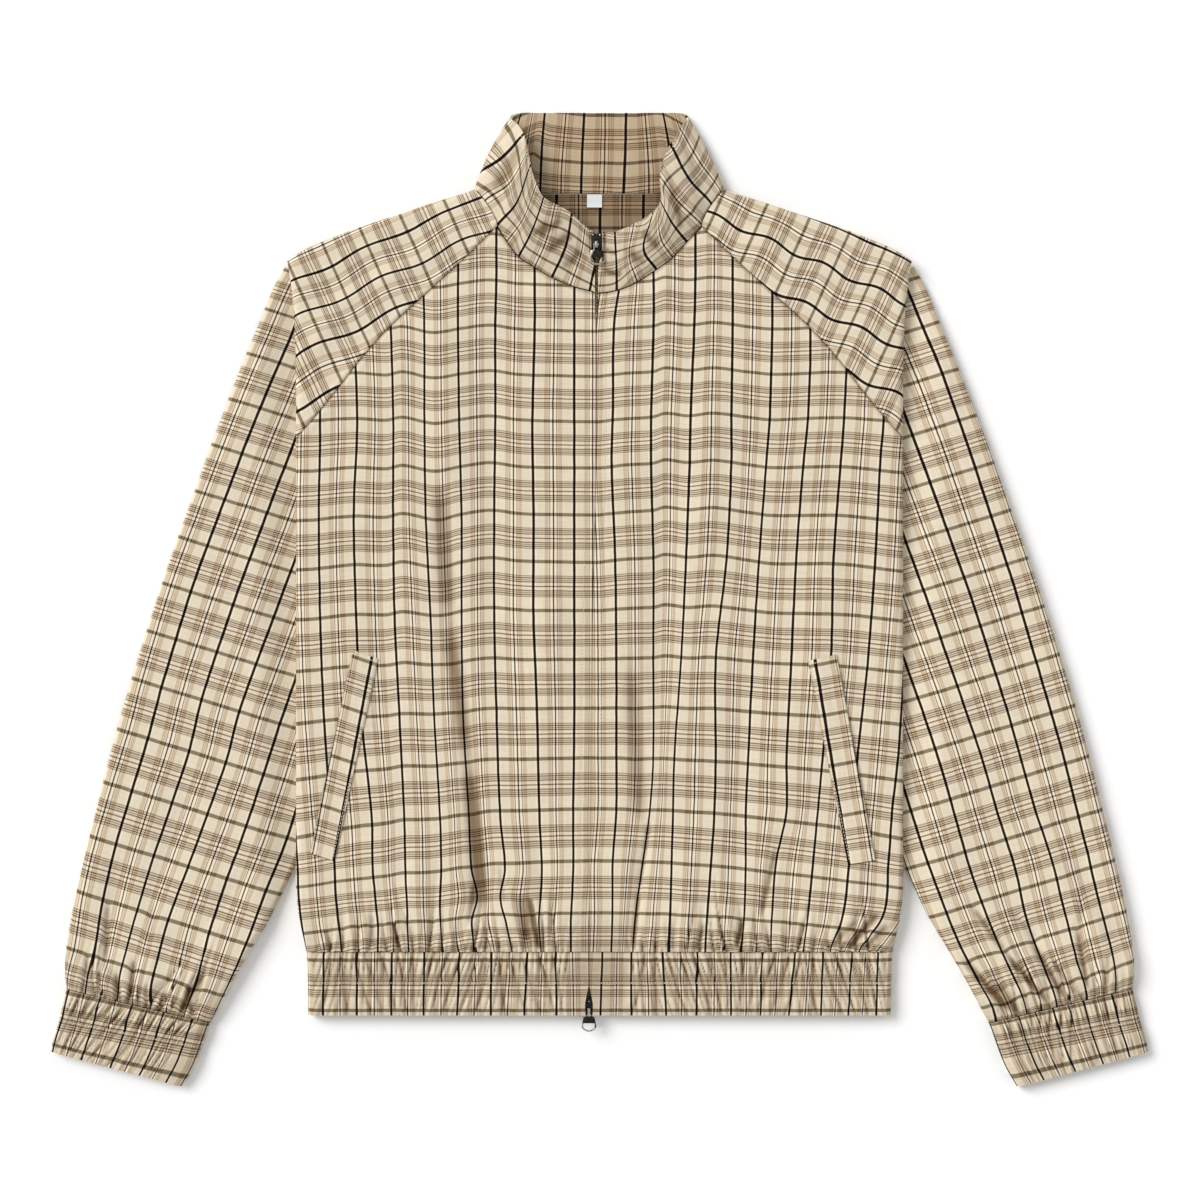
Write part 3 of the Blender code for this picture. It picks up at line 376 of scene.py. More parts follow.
# ---------------------------------------------------------------- small tools, on whole arrays
def read(rows, by, column, at):
    """A table's column where its column `by` is `at`, on a smooth curve through the rows."""
    knots = np.array([row[by] for row in rows], float)
    values = np.array([row[column] for row in rows], float)
    low = np.maximum(np.arange(len(knots)) - 1, 0)
    high = np.minimum(np.arange(len(knots)) + 1, len(knots) - 1)
    slopes = (values[high] - values[low]) / (knots[high] - knots[low])
    at = np.clip(at, knots[0], knots[-1])
    i = np.clip(np.searchsorted(knots, at, side="right") - 1, 0, len(knots) - 2)
    span = knots[i + 1] - knots[i]
    t = (at - knots[i]) / span
    return (
        (2 * t**3 - 3 * t**2 + 1) * values[i]
        + (t**3 - 2 * t**2 + t) * span * slopes[i]
        + (3 * t**2 - 2 * t**3) * values[i + 1]
        + (t**3 - t**2) * span * slopes[i + 1]
    )


def mix(a, b, t):
    return a + (b - a) * t


def ease(low, high, value):
    """0 up to `low`, 1 past `high`, and a smooth climb between."""
    t = np.clip((value - low) / (high - low), 0.0, 1.0)
    return t * t * (3 - 2 * t)


def hill(distance, width):
    return np.exp(-((distance / width) ** 2))


def uneven(n):
    """A repeatable unevenness from -1 to 1 for the n-th of many like things."""
    return 0.6 * np.sin(2.4 * n + 0.7) + 0.4 * np.sin(5.1 * n + 1.9)


def turn(inset, roll=ROLL):
    """How much of its full height cloth has `inset` in from a fold: a quarter round."""
    t = np.clip(inset / roll, 0.0, 1.0)
    return np.sqrt(np.maximum(1 - (1 - t) ** 2, 0.0))


def fold_walk(inset, high, roll=ROLL):
    """How much further cloth is from a fold when measured over the cloth than its inset says.

    It is counted from where the turn ends, so it falls from 0 there to minus the second result at the
    fold itself; `high` is half the fold's height.
    """
    scale = np.sqrt((roll**2 + high**2) / 2)
    whole = pi / 2 * scale - roll
    angle = np.arccos(np.clip(1 - inset / roll, 0.0, 1.0))
    return angle * scale + np.maximum(inset - roll, 0) - inset - whole, whole


def folds(rows, first, x, y):
    """The height that a table of folds adds at (x, y); `first` names its first column's stem."""
    total = 0.0
    for fold in rows:
        ax, ay, bx, by = fold[first + "1"], fold["y1"], fold[first + "2"], fold["y2"]
        dx, dy = bx - ax, by - ay
        along = ((x - ax) * dx + (y - ay) * dy) / (dx * dx + dy * dy)
        across = np.abs((x - ax) * dy - (y - ay) * dx) / np.hypot(dx, dy)
        ends = ease(-0.12, 0.2, along) * ease(-0.12, 0.2, 1 - along)
        total = total + fold["height"] * ends * hill(across, fold["width"])
    return total


def gathers(low, high, count):
    """Crests and troughs from `low` to `high`, as (place, level) with a level from -1 to 1."""
    step = (high - low) / count
    found = []
    for n in range(count):
        crest = low + (n + 0.5 + 0.18 * uneven(n)) * step
        trough = low + (n + 1 + 0.16 * uneven(n + 40)) * step
        found.append((crest, 0.75 + 0.25 * uneven(n + 7)))
        if n < count - 1:
            found.append((trough, -0.75 + 0.25 * uneven(n + 19)))
    return found


def pucker(marks, at):
    """The level between crests and troughs: broad crests, and troughs that close to a crease."""
    places = np.array([place for place, _ in marks])
    levels = np.array([level for _, level in marks])
    i = np.clip(np.searchsorted(places, at) - 1, 0, len(places) - 2)
    t = np.clip((at - places[i]) / (places[i + 1] - places[i]), 0.0, 1.0)
    rising = levels[i + 1] > levels[i]
    share = np.where(rising, 1 - (1 - t) ** 2.2, t**2.2)
    inside = ease(places[0] - 8, places[0], at) * ease(-places[-1] - 8, -places[-1], -at)
    return mix(levels[i], levels[i + 1], share) * inside


def line_index(marks, at, pitch):
    """How many lines of the check come before `at`, counted smoothly; `marks` are where they lie."""
    index = np.minimum(at - marks[0], 0) / pitch + np.maximum(at - marks[-1], 0) / pitch
    for low, high in zip(marks, marks[1:]):
        index = index + np.clip((at - low) / (high - low), 0.0, 1.0)
    return index


def line_marks(rows, by, at):
    """The lines of a table where its column `by` is `at`."""
    return [read(rows, by, name, at) for name in rows[0] if name != by]


RIPPLES = np.random.default_rng(7).uniform(0, 2 * pi, (9, 2))


def ripple(x, y):
    """The slight unevenness of cloth that lies loose, from -1 to 1."""
    total = 0.0
    for n, (heading, phase) in enumerate(RIPPLES):
        wave = 26 + 6 * n
        total = total + np.sin(2 * pi * (x * np.cos(heading) + 0.6 * y * np.sin(heading)) / wave + phase)
    return total / 4


# ---------------------------------------------------------------- the laid body's two faces
def body_edge(y):
    """The fold line down the body's side, and up over the armpit to the shoulder's tip."""
    climbed = np.maximum(y - ARMPIT_Y, 0.0) / (TIP_Y - ARMPIT_Y)
    return read(BODY_EDGE, "y", "out", y) + (TIP_OUT - CHEST_HALF) * climbed**TIP_BEND


def climb(out, y):
    """The level of the back's outer face: the floor, or the top of the arm that it lies on."""
    inner = read(ARM_INNER, "y", "out", y)
    return (UNDER_BODY + CLEAR) * ease(-RISE - RISE_AHEAD, -RISE_AHEAD, (out - inner) * SHOULDER_LEAN)


def body_levels(x, y):
    """Outer level of the front, of the fold between front and back, and of the back, inside the folds."""
    out = np.abs(x)
    top = read(BODY_HEIGHT, "y", "height", y)
    top = top + folds(FRONT_FOLDS, "x", x, y) * ease(BODY_WALL, 25, body_edge(y) - out)
    top = top + folds(SHOULDER_FOLDS, "out", out, y)
    under = climb(out, y)
    return top, (top + under) / 2, under


def rolled(x, y):
    """How far both faces of the body have parted at (x, y), from 0 on its fold lines to 1."""
    out = np.abs(x)
    beside = body_edge(y) - out
    neck = SHOULDER[0]["out"]
    over = np.maximum(read(SHOULDER, "out", "y", out) - y, 0.0) * SHOULDER_LEAN
    return turn(beside) * turn(np.hypot(np.maximum(neck - out, 0.0), over))


def front_z(x, y):
    top, middle, _ = body_levels(x, y)
    return mix(middle, top, rolled(x, y))


def back_z(x, y):
    _, middle, under = body_levels(x, y)
    return mix(middle, under, rolled(x, y))


def centre_edge(side, y):
    """The edge of a front along the zip."""
    return read(CENTRE_FRONT, "y", "x", y) + side * read(ZIP_GAP, "y", "gap", y) / 2


def front_top_y(side, out):
    """Top edge of a front: the raglan seam, or the collar's seam nearer the zip."""
    on_collar = read(COLLAR_SEAM, "x", "y", side * out)
    return np.where(out >= NECK_OUT, read(FRONT_RAGLAN, "out", "y", out), on_collar) - SLIT


# ---------------------------------------------------------------- meshes
def deselect_all():
    for thing in bpy.context.selected_objects:
        thing.select_set(False)


def pick(piece):
    """Make a piece the only selected one and the active one."""
    deselect_all()
    piece.select_set(True)
    bpy.context.view_layer.objects.active = piece


def apply_modifier(piece, name, kind, **settings):
    pick(piece)
    added = piece.modifiers.new(name, kind)
    for key, value in settings.items():
        setattr(added, key, value)
    bpy.ops.object.modifier_apply(modifier=added.name)


def add_object(name, mesh):
    """Put a mesh in the scene as a piece, and pick it."""
    piece = bpy.data.objects.new(name, mesh)
    bpy.context.scene.collection.objects.link(piece)
    pick(piece)
    return piece


def take_form(piece):
    """A piece's vertices and faces; the piece itself goes."""
    verts = np.array([vertex.co for vertex in piece.data.vertices])
    faces = [list(face.vertices) for face in piece.data.polygons]
    bpy.data.objects.remove(piece, do_unlink=True)
    return verts, faces


def clean_mesh(merge, dissolve, **settings):
    """Merge the picked mesh's points that lie within `merge` millimetres, then dissolve what is idle."""
    bpy.ops.object.mode_set(mode="EDIT")
    bpy.ops.mesh.select_all(action="SELECT")
    bpy.ops.mesh.remove_doubles(threshold=merge * MM)
    dissolve(**settings)
    bpy.ops.object.mode_set(mode="OBJECT")


CLOTHS = {}                 # the cloth pieces by the node they stand for, for what is sewn on them


def shell(name, points, repeats, wall, faces, flip=False, painted_shade=None):
    """A cloth piece from a grid of points: an outer face, with its wall added behind it.

    `points` is (rows, columns, 3) in millimetres. `repeats` gives each point's place in the check,
    counted in repeats, as (rows, columns, 2), and becomes the piece's UV map. `faces` are the finishes
    of its outer and inner face. The last argument, from 0 to 1, is each point's painted shade, most deep
    in a crease, kept as a point attribute that the material darkens by.
    """
    rows, columns = points.shape[:2]
    corner = np.arange(rows * columns).reshape(rows, columns)
    quads = np.stack((corner[:-1, :-1], corner[:-1, 1:], corner[1:, 1:], corner[1:, :-1]), -1)
    quads = quads.reshape(-1, 4)
    if flip:
        quads = quads[:, ::-1]
    mesh = bpy.data.meshes.new(name)
    mesh.from_pydata((points.reshape(-1, 3) * MM).tolist(), [], quads.tolist())
    uv = mesh.uv_layers.new(name="check")
    uv.data.foreach_set("uv", repeats.reshape(-1, 2)[quads.ravel()].ravel())
    if painted_shade is not None:
        depth = mesh.attributes.new("painted_shade", "FLOAT", "POINT")
        depth.data.foreach_set("value", np.clip(painted_shade, 0.0, 1.0).astype(np.float32).ravel())
    piece = add_object(name, mesh)
    for face in faces:
        mesh.materials.append(face)
    clean_mesh(0.02, bpy.ops.mesh.dissolve_degenerate, threshold=0.01 * MM)
    apply_modifier(piece, "wall", "SOLIDIFY", thickness=wall * MM, offset=-1.0, use_quality_normals=True,
                   material_offset=len(faces) - 1)
    bpy.ops.object.shade_smooth_by_angle(angle=radians(60))
    return piece


def dress(piece, node, slot, flat, **more):
    """Say what a cloth piece stands for and what it moves with; `flat`, the size it was cut to, is not used.
    """
    CLOTHS[node] = piece
    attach(piece, "jacket")
    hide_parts(node)
    return piece


def make_cloth(node, points, repeats, painted_shade, wall, flip, flat, **more):
    """A shell of the checked shirting that stands for a node."""
    # The inner face takes a darker copy: the wrong side's own colour and painted shade.
    faces = (finish("checked_shirting", shirting, (1.0, 1.0, 1.0)),
             finish("checked_shirting_inside", shirting, WRONG_SIDE_AND_SHADE))
    piece = shell(f"{node}_cloth", points, repeats, wall, faces, flip, painted_shade)
    return dress(piece, node, "cloth", flat, **more)


# ---------------------------------------------------------------- materials
def linear(code):
    """An sRGB hex colour as the linear numbers that Blender uses."""
    parts = [int(code[n:n + 2], 16) / 255 for n in (1, 3, 5)]
    return tuple(part / 12.92 if part <= 0.04045 else ((part + 0.055) / 1.055) ** 2.4 for part in parts)


def add_node(tree, kind, inputs=(), **settings):
    """Add a node. `inputs` pairs a socket with a value or with the socket that feeds it."""
    made = tree.nodes.new(kind)
    for key, value in settings.items():
        setattr(made, key, value)
    for key, value in inputs:
        if isinstance(value, bpy.types.NodeSocket):
            tree.links.new(value, made.inputs[key])
        else:
            made.inputs[key].default_value = value
    return made


def new_material(name, **inputs):
    """A material, its tree and its shader; the shader's plain inputs are written with _ for a space."""
    made = bpy.data.materials.new(name)
    made.use_nodes = True
    shader = made.node_tree.nodes["Principled BSDF"]
    for key, value in inputs.items():
        shader.inputs[key.replace("_", " ")].default_value = value
    return made, made.node_tree, shader


def add_ramp(tree, level, stops):
    """The colour at a level, from stops of (position, linear colour)."""
    ramp = add_node(tree, "ShaderNodeValToRGB", [("Fac", level)])
    elements = ramp.color_ramp.elements
    while len(elements) > 1:
        elements.remove(elements[-1])
    for number, (position, color) in enumerate(stops):
        stop = elements[0] if number == 0 else elements.new(position)
        stop.position = position
        stop.color = (*color, 1.0)
    return ramp.outputs["Color"]


def add_cloud(tree, scale, *inputs):
    """Noise in the piece's own space, `scale` of it to the metre."""
    place = add_node(tree, "ShaderNodeTexCoord")
    return add_node(tree, "ShaderNodeTexNoise",
                    [("Vector", place.outputs["Object"]), ("Scale", scale), *inputs])


def add_relief(tree, shader, height, strength, depth):
    """Feed the shader's normal from a height, `depth` deep in millimetres."""
    bump = add_node(tree, "ShaderNodeBump",
                    [("Height", height), ("Strength", strength), ("Distance", depth * MM)])
    tree.links.new(bump.outputs[0], shader.inputs["Normal"])


def vector(tree, operation, *inputs):
    """What an operation on vectors gives."""
    return add_node(tree, "ShaderNodeVectorMath", enumerate(inputs), operation=operation).outputs[0]


def times(color, shade, over=1.0):
    return tuple(part * dim / over for part, dim in zip(color, shade))


WEFT_PLAIN = 0.9            # level of plain ground in the weft's ramp, which leaves room for brighter cream
WARP_STOPS = (              # one repeat across the warp: position and thread colour
    (0.0, "black"), (0.029, "black"), (0.041, "cream"), (0.06, "cream"), (0.085, "ground"),
    (0.290, "ground"), (0.304, "dark_tan"), (0.34, "tan"), (0.378, "dark_tan"), (0.392, "ground"),
    (0.402, "ground"), (0.42, "brown"), (0.438, "cream"), (0.485, "cream"), (0.497, "umber"),
    (0.518, "umber"), (0.532, "cream"), (0.582, "cream"), (0.60, "brown"), (0.618, "ground"),
    (0.628, "ground"), (0.642, "dark_tan"), (0.68, "tan"), (0.716, "dark_tan"), (0.730, "ground"),
    (0.915, "ground"), (0.94, "cream"), (0.961, "cream"), (0.973, "black"), (1.0, "black"),
)
WEFT_STOPS = (              # one repeat along it
    (0.0, "grey"), (0.030, "grey"), (0.041, "ground"), (0.262, "ground"), (0.278, "faint"),
    (0.296, "warm"), (0.318, "thin"), (0.338, "warm"), (0.360, "faint"), (0.381, "warm"),
    (0.403, "thin"), (0.424, "pale"), (0.472, "pale"), (0.493, "thin"), (0.514, "pale"),
    (0.561, "pale"), (0.582, "thin"), (0.601, "warm"), (0.620, "faint"), (0.641, "warm"),
    (0.663, "thin"), (0.684, "warm"), (0.705, "faint"), (0.722, "ground"), (0.960, "ground"),
    (0.970, "grey"), (1.0, "grey"),
)
THREADS = {                 # yarn-dyed cotton threads as they look in the cloth
    "ground": "#ded1b9", "black": "#26180c", "tan": "#cbb99f", "dark_tan": "#c3b095", "cream": "#eadec7",
    "brown": "#775b42", "umber": "#4e3722", "grey": "#857862", "faint": "#8b745b", "thin": "#563d2b",
    "warm": "#ddceb4", "pale": "#decfb6",
}
CROSSING = 0.3              # how much darker dark threads are where they cross than each makes the cloth
PAINTED_CREASE_SHADE = (0.26, 0.18, 0.11)    # painted shade: what the bottom of a crease keeps of the cloth's colour
WRONG_SIDE_AND_SHADE = (0.72, 0.64, 0.56)   # the cloth's wrong side: partly its own duller, warmer colour, partly painted shade
DARKEST = (0.004, 0.003, 0.002)     # what a crossing keeps of the light
SLUB = (0.9, 20.0)          # a thread's width and a slub's length; threads are drawn twice as coarse as real
WAVER = (0.022, 0.022, 0.0)         # repeats by which the lines waver, about 0.3 mm over a few centimetres


def shirting(name, shade):
    """Plain-woven cotton shirting, yarn-dyed in a check: matt, with a slight slub in its threads."""
    made, tree, shader = new_material(name, Roughness=0.9, Specular_IOR_Level=0.08, Sheen_Weight=0.03,
                                      Sheen_Roughness=0.5)
    uv = add_node(tree, "ShaderNodeUVMap", uv_map="check").outputs["UV"]
    shift = vector(tree, "SUBTRACT", add_cloud(tree, 60.0).outputs["Color"], (0.5, 0.5, 0.5))
    moved = vector(tree, "MULTIPLY_ADD", shift, WAVER, uv)
    parts = add_node(tree, "ShaderNodeSeparateXYZ", [("Vector", moved)])
    ground = linear(THREADS["ground"])
    ramps = []
    # `shade` darkens a whole copy, for the inner face: partly the wrong side's own colour, partly painted
    # shade.
    for axis, stops in (("X", WARP_STOPS), ("Y", WEFT_STOPS)):
        share = add_node(tree, "ShaderNodeMath", [(0, parts.outputs[axis])], operation="FRACT")
        colors = [(position, linear(THREADS[thread])) for position, thread in stops]
        if axis == "X":
            colors = [(position, times(color, shade, WEFT_PLAIN)) for position, color in colors]
        else:
            colors = [(position, tuple(part * WEFT_PLAIN / base for part, base in zip(color, ground)))
                      for position, color in colors]
        ramps.append(add_ramp(tree, share.outputs[0], colors))
    # Warp and weft multiplied, less CROSSING times how far both are below the ground.
    woven = vector(tree, "MULTIPLY", *ramps)
    below = vector(tree, "SUBTRACT", times(ground, shade, WEFT_PLAIN), ramps[0])
    share = vector(tree, "MULTIPLY_ADD", ramps[1], (CROSSING,) * 3, (-CROSSING * WEFT_PLAIN,) * 3)
    crossed = vector(tree, "MAXIMUM", vector(tree, "MULTIPLY_ADD", below, share, woven), DARKEST)
    slubs = []
    for warp, weft in (SLUB, SLUB[::-1]):
        drawn = add_node(tree, "ShaderNodeMapping",
                         [("Vector", uv), ("Scale", (WARP_REPEAT / warp, WEFT_REPEAT / weft, 1.0))])
        noise = add_node(tree, "ShaderNodeTexNoise",
                         [("Vector", drawn.outputs[0]), ("Scale", 1.0), ("Detail", 1.0)])
        slubs.append(noise.outputs["Fac"])
    slub = add_node(tree, "ShaderNodeMath", enumerate(slubs), operation="ADD").outputs[0]
    tone = add_node(tree, "ShaderNodeMapRange", [("Value", slub), ("From Min", 0.6), ("From Max", 1.4),
                                                 ("To Min", 0.9), ("To Max", 1.1)])
    toned = add_node(tree, "ShaderNodeVectorMath", [(0, crossed), ("Scale", tone.outputs[0])],
                     operation="SCALE")
    # Painted shade: the colour darkens and browns by the piece's point attribute,
    # most deep in creases and seams, as cloth in the shade of its own folds looks.
    painted_shade = add_node(tree, "ShaderNodeAttribute", attribute_name="painted_shade")
    crease_darkening = vector(tree, "MULTIPLY_ADD", painted_shade.outputs["Fac"], tuple(part - 1 for part in PAINTED_CREASE_SHADE),
                  (1, 1, 1))
    tree.links.new(vector(tree, "MULTIPLY", toned.outputs[0], crease_darkening), shader.inputs["Base Color"])
    add_relief(tree, shader, slub, 0.25, 0.25)
    return made


PLATINGS = table(           # width of its clouds in millimetres, then the range of its roughness
    "name hollows rubbed width smooth dull",
    ("gunmetal_plating", "#232221", "#454340", 1.1, 0.22, 0.42),
    ("rubbed_nickel", "#b0a695", "#e4ddcf", 1.4, 0.15, 0.3),
    ("oxidised_bronze", "#4c3d2b", "#a9916c", 2.4, 0.3, 0.5),
)


def plating(name):
    """Plated die-cast metal, dull in its hollows and brighter where it is rubbed.

    Gunmetal is dark and smooth, nickel that shows through it pale and bright, the teeth's bronze brown.
    The pale nickel also makes the slider's knobs, which stand in for its glints: painted highlights.
    """
    made, tree, shader = new_material(name, Metallic=1.0)
    kind = next(row for row in PLATINGS if row["name"] == name)
    cloud = add_cloud(tree, 1 / (kind["width"] * MM), ("Detail", 2.0)).outputs["Fac"]
    rough = add_node(tree, "ShaderNodeMapRange",
                     [("Value", cloud), ("To Min", kind["smooth"]), ("To Max", kind["dull"])])
    color = add_ramp(tree, cloud, ((0.35, linear(kind["hollows"])), (0.7, linear(kind["rubbed"]))))
    tree.links.new(color, shader.inputs["Base Color"])
    tree.links.new(rough.outputs[0], shader.inputs["Roughness"])
    return made


WEAVES = table(             # `depth` is in millimetres
    "name direction scale distortion low high strength depth roughness sheen",
    ("woven_zip_tape", "DIAGONAL", 9.0, 1.0, "#1d1a17", "#37322c", 0.4, 0.2, 0.8, 0.0),
    ("satin_label", "Y", 14.0, 0.4, "#d5d8da", "#eef0f1", 0.3, 0.1, 0.55, 0.2),
)


def ribbed_weave(name):
    """Woven polyester in fine ribs.

    The zip's tape is a herringbone 1.2 mm wide, nearly black and matt, the label a white satin with a
    slight gloss.
    """
    kind = next(row for row in WEAVES if row["name"] == name)
    made, tree, shader = new_material(name, Roughness=kind["roughness"], Sheen_Weight=kind["sheen"])
    uv = add_node(tree, "ShaderNodeUVMap", uv_map="check")
    ribs = add_node(tree, "ShaderNodeTexWave", [
        ("Vector", uv.outputs["UV"]), ("Scale", kind["scale"]), ("Distortion", kind["distortion"]),
    ], bands_direction=kind["direction"]).outputs["Fac"]
    color = add_ramp(tree, ribs, ((0.2, linear(kind["low"])), (0.8, linear(kind["high"]))))
    tree.links.new(color, shader.inputs["Base Color"])
    add_relief(tree, shader, ribs, kind["strength"], kind["depth"])
    return made


def sewing_thread(name, code):
    """Spun polyester sewing thread: two plies twisted together, matt."""
    made, tree, shader = new_material(name, Roughness=0.75)
    light = linear(code)
    twist = add_cloud(tree, 1500.0).outputs["Fac"]
    color = add_ramp(tree, twist, ((0.3, tuple(part * 0.7 for part in light)), (0.7, light)))
    tree.links.new(color, shader.inputs["Base Color"])
    return made


def pale_floor(name):
    """Matt white studio paper."""
    made, tree, shader = new_material(name, Roughness=0.9)
    cloud = add_cloud(tree, 3.0).outputs["Fac"]
    color = add_ramp(tree, cloud, ((0.3, linear("#fbfbfa")), (0.7, linear("#fefefe"))))
    tree.links.new(color, shader.inputs["Base Color"])
    return made


MATERIALS = {}


def finish(name, maker, *settings):
    """The material of that name, made the first time it is asked for."""
    if name not in MATERIALS:
        MATERIALS[name] = maker(name, *settings)
    return MATERIALS[name]


# ---------------------------------------------------------------- fronts and back
HEM_GATHERS = gathers(FLAT_TAB, 238, 18)        # the main puckers on each half of the hem
FINE_GATHERS = gathers(FLAT_TAB - 4, 242, 41)   # the fine ones between them
GATHER_HEIGHT = table(      # height of the puckers against the distance from the hem's seam
    "away main fine",
    (0, 1.0, 0.6), (5, 2.2, 0.9), (12, 2.5, 0.6), (22, 1.7, 0.25), (36, 0.8, 0.05), (55, 0.15, 0.0),
    (75, 0.0, 0.0),
)
CREASES = {                 # sharp folds on each front, drawn in by the hem
    -1: table(
        "x1 y1 x2 y2 width height",
        (-58, -250, -50, -294, 2.4, -3.0), (-66, -246, -60, -290, 7.0, -2.0),
        (-105, -240, -109, -272, 3.0, -1.6), (-83, -222, -79, -254, 3.0, -1.2),
        (-134, 100, -126, -18, 9.0, -2.0), (-126, -18, -110, -135, 9.0, -2.2),
        (-110, -135, -97, -262, 8.0, -2.6), (-229, -276, -224, -294, 2.5, -1.8),
        (-172, -270, -168, -294, 2.5, -2.0), (-36, -243, -44, -290, 4.0, -1.4),
        (-218, -255, -214, -293, 4.0, -1.2), (-190, -262, -188, -294, 3.5, -1.4),
    ),
    +1: table(
        "x1 y1 x2 y2 width height",
        (42, -185, 33, -245, 2.0, -2.0), (33, -245, 28, -294, 2.0, -2.6),
        (148, -205, 134, -268, 3.5, -2.0), (120, -268, 114, -292, 3.0, -2.4),
        (206, -293, 233, -262, 4.0, -2.4), (219, -294, 243, -271, 3.5, -2.0),
        (190, -294, 214, -268, 4.0, -1.8), (26, -50, 34, -195, 9.0, -1.8),
        (88, -270, 80, -294, 3.0, -1.6), (170, -268, 164, -294, 3.0, -1.8),
    ),
}


def slanted(out, away):
    """Where a pucker starts on the seam, for a point further up: each one leans its own way."""
    return out + away * (0.16 * np.sin(out / 17 + 1) + 0.12 * np.sin(out / 7.1))


def reach(out):
    """How far up a pucker reaches, as a share of the usual."""
    return 1 + 0.3 * np.sin(out / 8.3 + 2) + 0.25 * np.sin(out / 19.7)


def in_crease(level):
    """How deep in a crease cloth lies whose puckers have that level, which sets its painted shade."""
    return 0.3 * ease(-0.7, 0.4, -level) + 0.7 * ease(0.2, 0.85, -level)


def gathered(main, fine, away, heights):
    """Height, level and painted shade of puckers that fade away from a seam."""
    height = main * read(heights, "away", "main", away) + fine * read(heights, "away", "fine", away)
    painted_shade = 0.9 * in_crease(main) * ease(-42, 2, -away) + 0.7 * in_crease(fine) * ease(-15, 0, -away)
    return height, main * ease(-45, -3, -away), painted_shade


def hem_puckers(side, x, y):
    """The gathers that the elastic draws into the body above its seam."""
    away = y - HEM_SEAM_Y
    start = slanted(side * x, away)
    away = away / reach(start + 40 * (side > 0))
    fine = pucker(FINE_GATHERS, start + 0.12 * away)
    return gathered(pucker(HEM_GATHERS, start), fine, away, GATHER_HEIGHT)


def weft_count(out, y, lifted=0.0):
    """The weft count on the body; its lines sink towards the side folds and rise over long folds."""
    sunk = read(WEFT_DROP, "y", "drop", y) * np.minimum(out / 252, 1.1) ** 1.7
    return line_index(ZIP_WEFTS, y + sunk - lifted, FRONT_PITCH[1])


def spread(start, end, count):
    """Even steps, as a row."""
    return np.linspace(start, end, count)[None, :]


def rows_up(count, bend):
    """Steps from 0 to 1 as a column, closer together at the start by `bend`."""
    t = spread(0, 1, count).T
    return (1 - bend) * t + bend * t**2


ROLL_ANGLES = np.linspace(0, pi / 2, 7)
ROLL_INSETS = 1 - np.sin(ROLL_ANGLES[None, 1:])     # of the columns round a fold, in rolls


def to_fold(start, edge, count):
    """Columns from `start` to a fold at `edge`, close together where the cloth turns over."""
    return np.concatenate((mix(start, edge - ROLL, spread(0, 1, count)), edge - ROLL * ROLL_INSETS), 1)


def make_front(side, node):
    """A front: rows from the hem's seam up, columns from the zip to the side fold."""
    rows, columns = FRONT_GRID
    part = rows_up(rows, 0.45)
    edge = body_edge(mix(HEM_SEAM_Y, ARMPIT_Y, part))
    first_y = mix(HEM_SEAM_Y + SLIT, front_top_y(side, np.array(2.0)), part)
    out = to_fold(side * centre_edge(side, first_y) - 0.2, edge, columns)
    y = mix(HEM_SEAM_Y + SLIT, front_top_y(side, out), part)
    x = side * out
    inset = body_edge(y) - out
    inside = ease(0, 14, inset)
    puckers, level, painted_shade = hem_puckers(side, x, y)
    creases = folds(CREASES[side], "x", x, y) * inside
    z = front_z(x, y) + puckers * ease(0, 5, inset) + 0.5 * ripple(x, y) * inside + creases
    # Painted shade deep in the creases, on top of that of the puckers.
    painted_shade = painted_shade + 0.9 * ease(0.5, 2.6, -creases)
    # The cloth sinks into the raglan seam, and a little at the stitching beside the zip.
    seam = (front_top_y(side, out) - y) * 0.75
    z = z - 0.8 * hill(seam, 1.3) + 0.4 * hill(seam - 4.5, 3.0)
    beside = side * (x - centre_edge(side, y))
    z = z - 0.35 * hill(beside - ZIP_STITCH_INSET, 1.3) - 0.5 * hill(beside, 1.2)
    # Painted shade along the raglan seam and the zip's edge.
    painted_shade = painted_shade + 0.55 * hill(seam, 0.9) + 0.35 * hill(beside, 0.9)
    warp = line_index(line_marks(FRONT_WARPS[side], "y", y), out, FRONT_PITCH[0]) + 0.05 * level
    from_zip = np.abs(x + 2.1)
    lifted = read(WEFT_WAVES[side], "out", "lift", from_zip) * read(WAVE_FADE[side], "y", "share", y)
    weft = weft_count(from_zip, y, lifted) - 0.03 * level - 0.012 * creases
    return make_cloth(node, np.stack((x, y, z), -1), np.stack((warp, weft), -1), painted_shade, BODY_WALL, side < 0,
                      flat=(0.27, 0.64), area=0.134, rests_on=["back_panel_cloth"])


def make_back():
    """The back panel, from fold to fold."""
    rows, columns = BACK_GRID
    part = rows_up(rows, 0.3)
    edge = body_edge(mix(HEM_SEAM_Y, ARMPIT_Y, part))
    half = to_fold(0 * edge, edge, columns)
    out = np.concatenate((half[:, :0:-1], half), 1)
    x = np.where(np.arange(out.shape[1]) < half.shape[1] - 1, -out, out)
    top = np.where(out < BACK_NECK_OUT, BACK_NECK_Y, read(BACK_RAGLAN, "out", "y", out))
    y = mix(HEM_SEAM_Y + SLIT, top - SLIT, part)
    # Inside the neck a black line shows at the middle and a grey one 28 mm below the collar's seam.
    repeats = np.stack((x / WARP_REPEAT - 0.01, weft_count(out, y) - 0.31), -1)
    # Painted shade inside the neck, below the collar.
    neck_shade = 0.5 * ease(280, 325, y) * ease(-75, -45, -out)
    make_cloth("back_panel", np.stack((x, y, back_z(x, y)), -1), repeats, neck_shade, BODY_WALL, True,
               flat=(0.53, 0.66), area=0.28)


# ---------------------------------------------------------------- hem band
def rounded(near, far):
    """Points, repeats and painted shade of cloth that runs over `near` and back under `far`.

    The two are joined in their last column.
    """
    return [np.concatenate((a, b[:, -2::-1]), 1) for a, b in zip(near, far)]


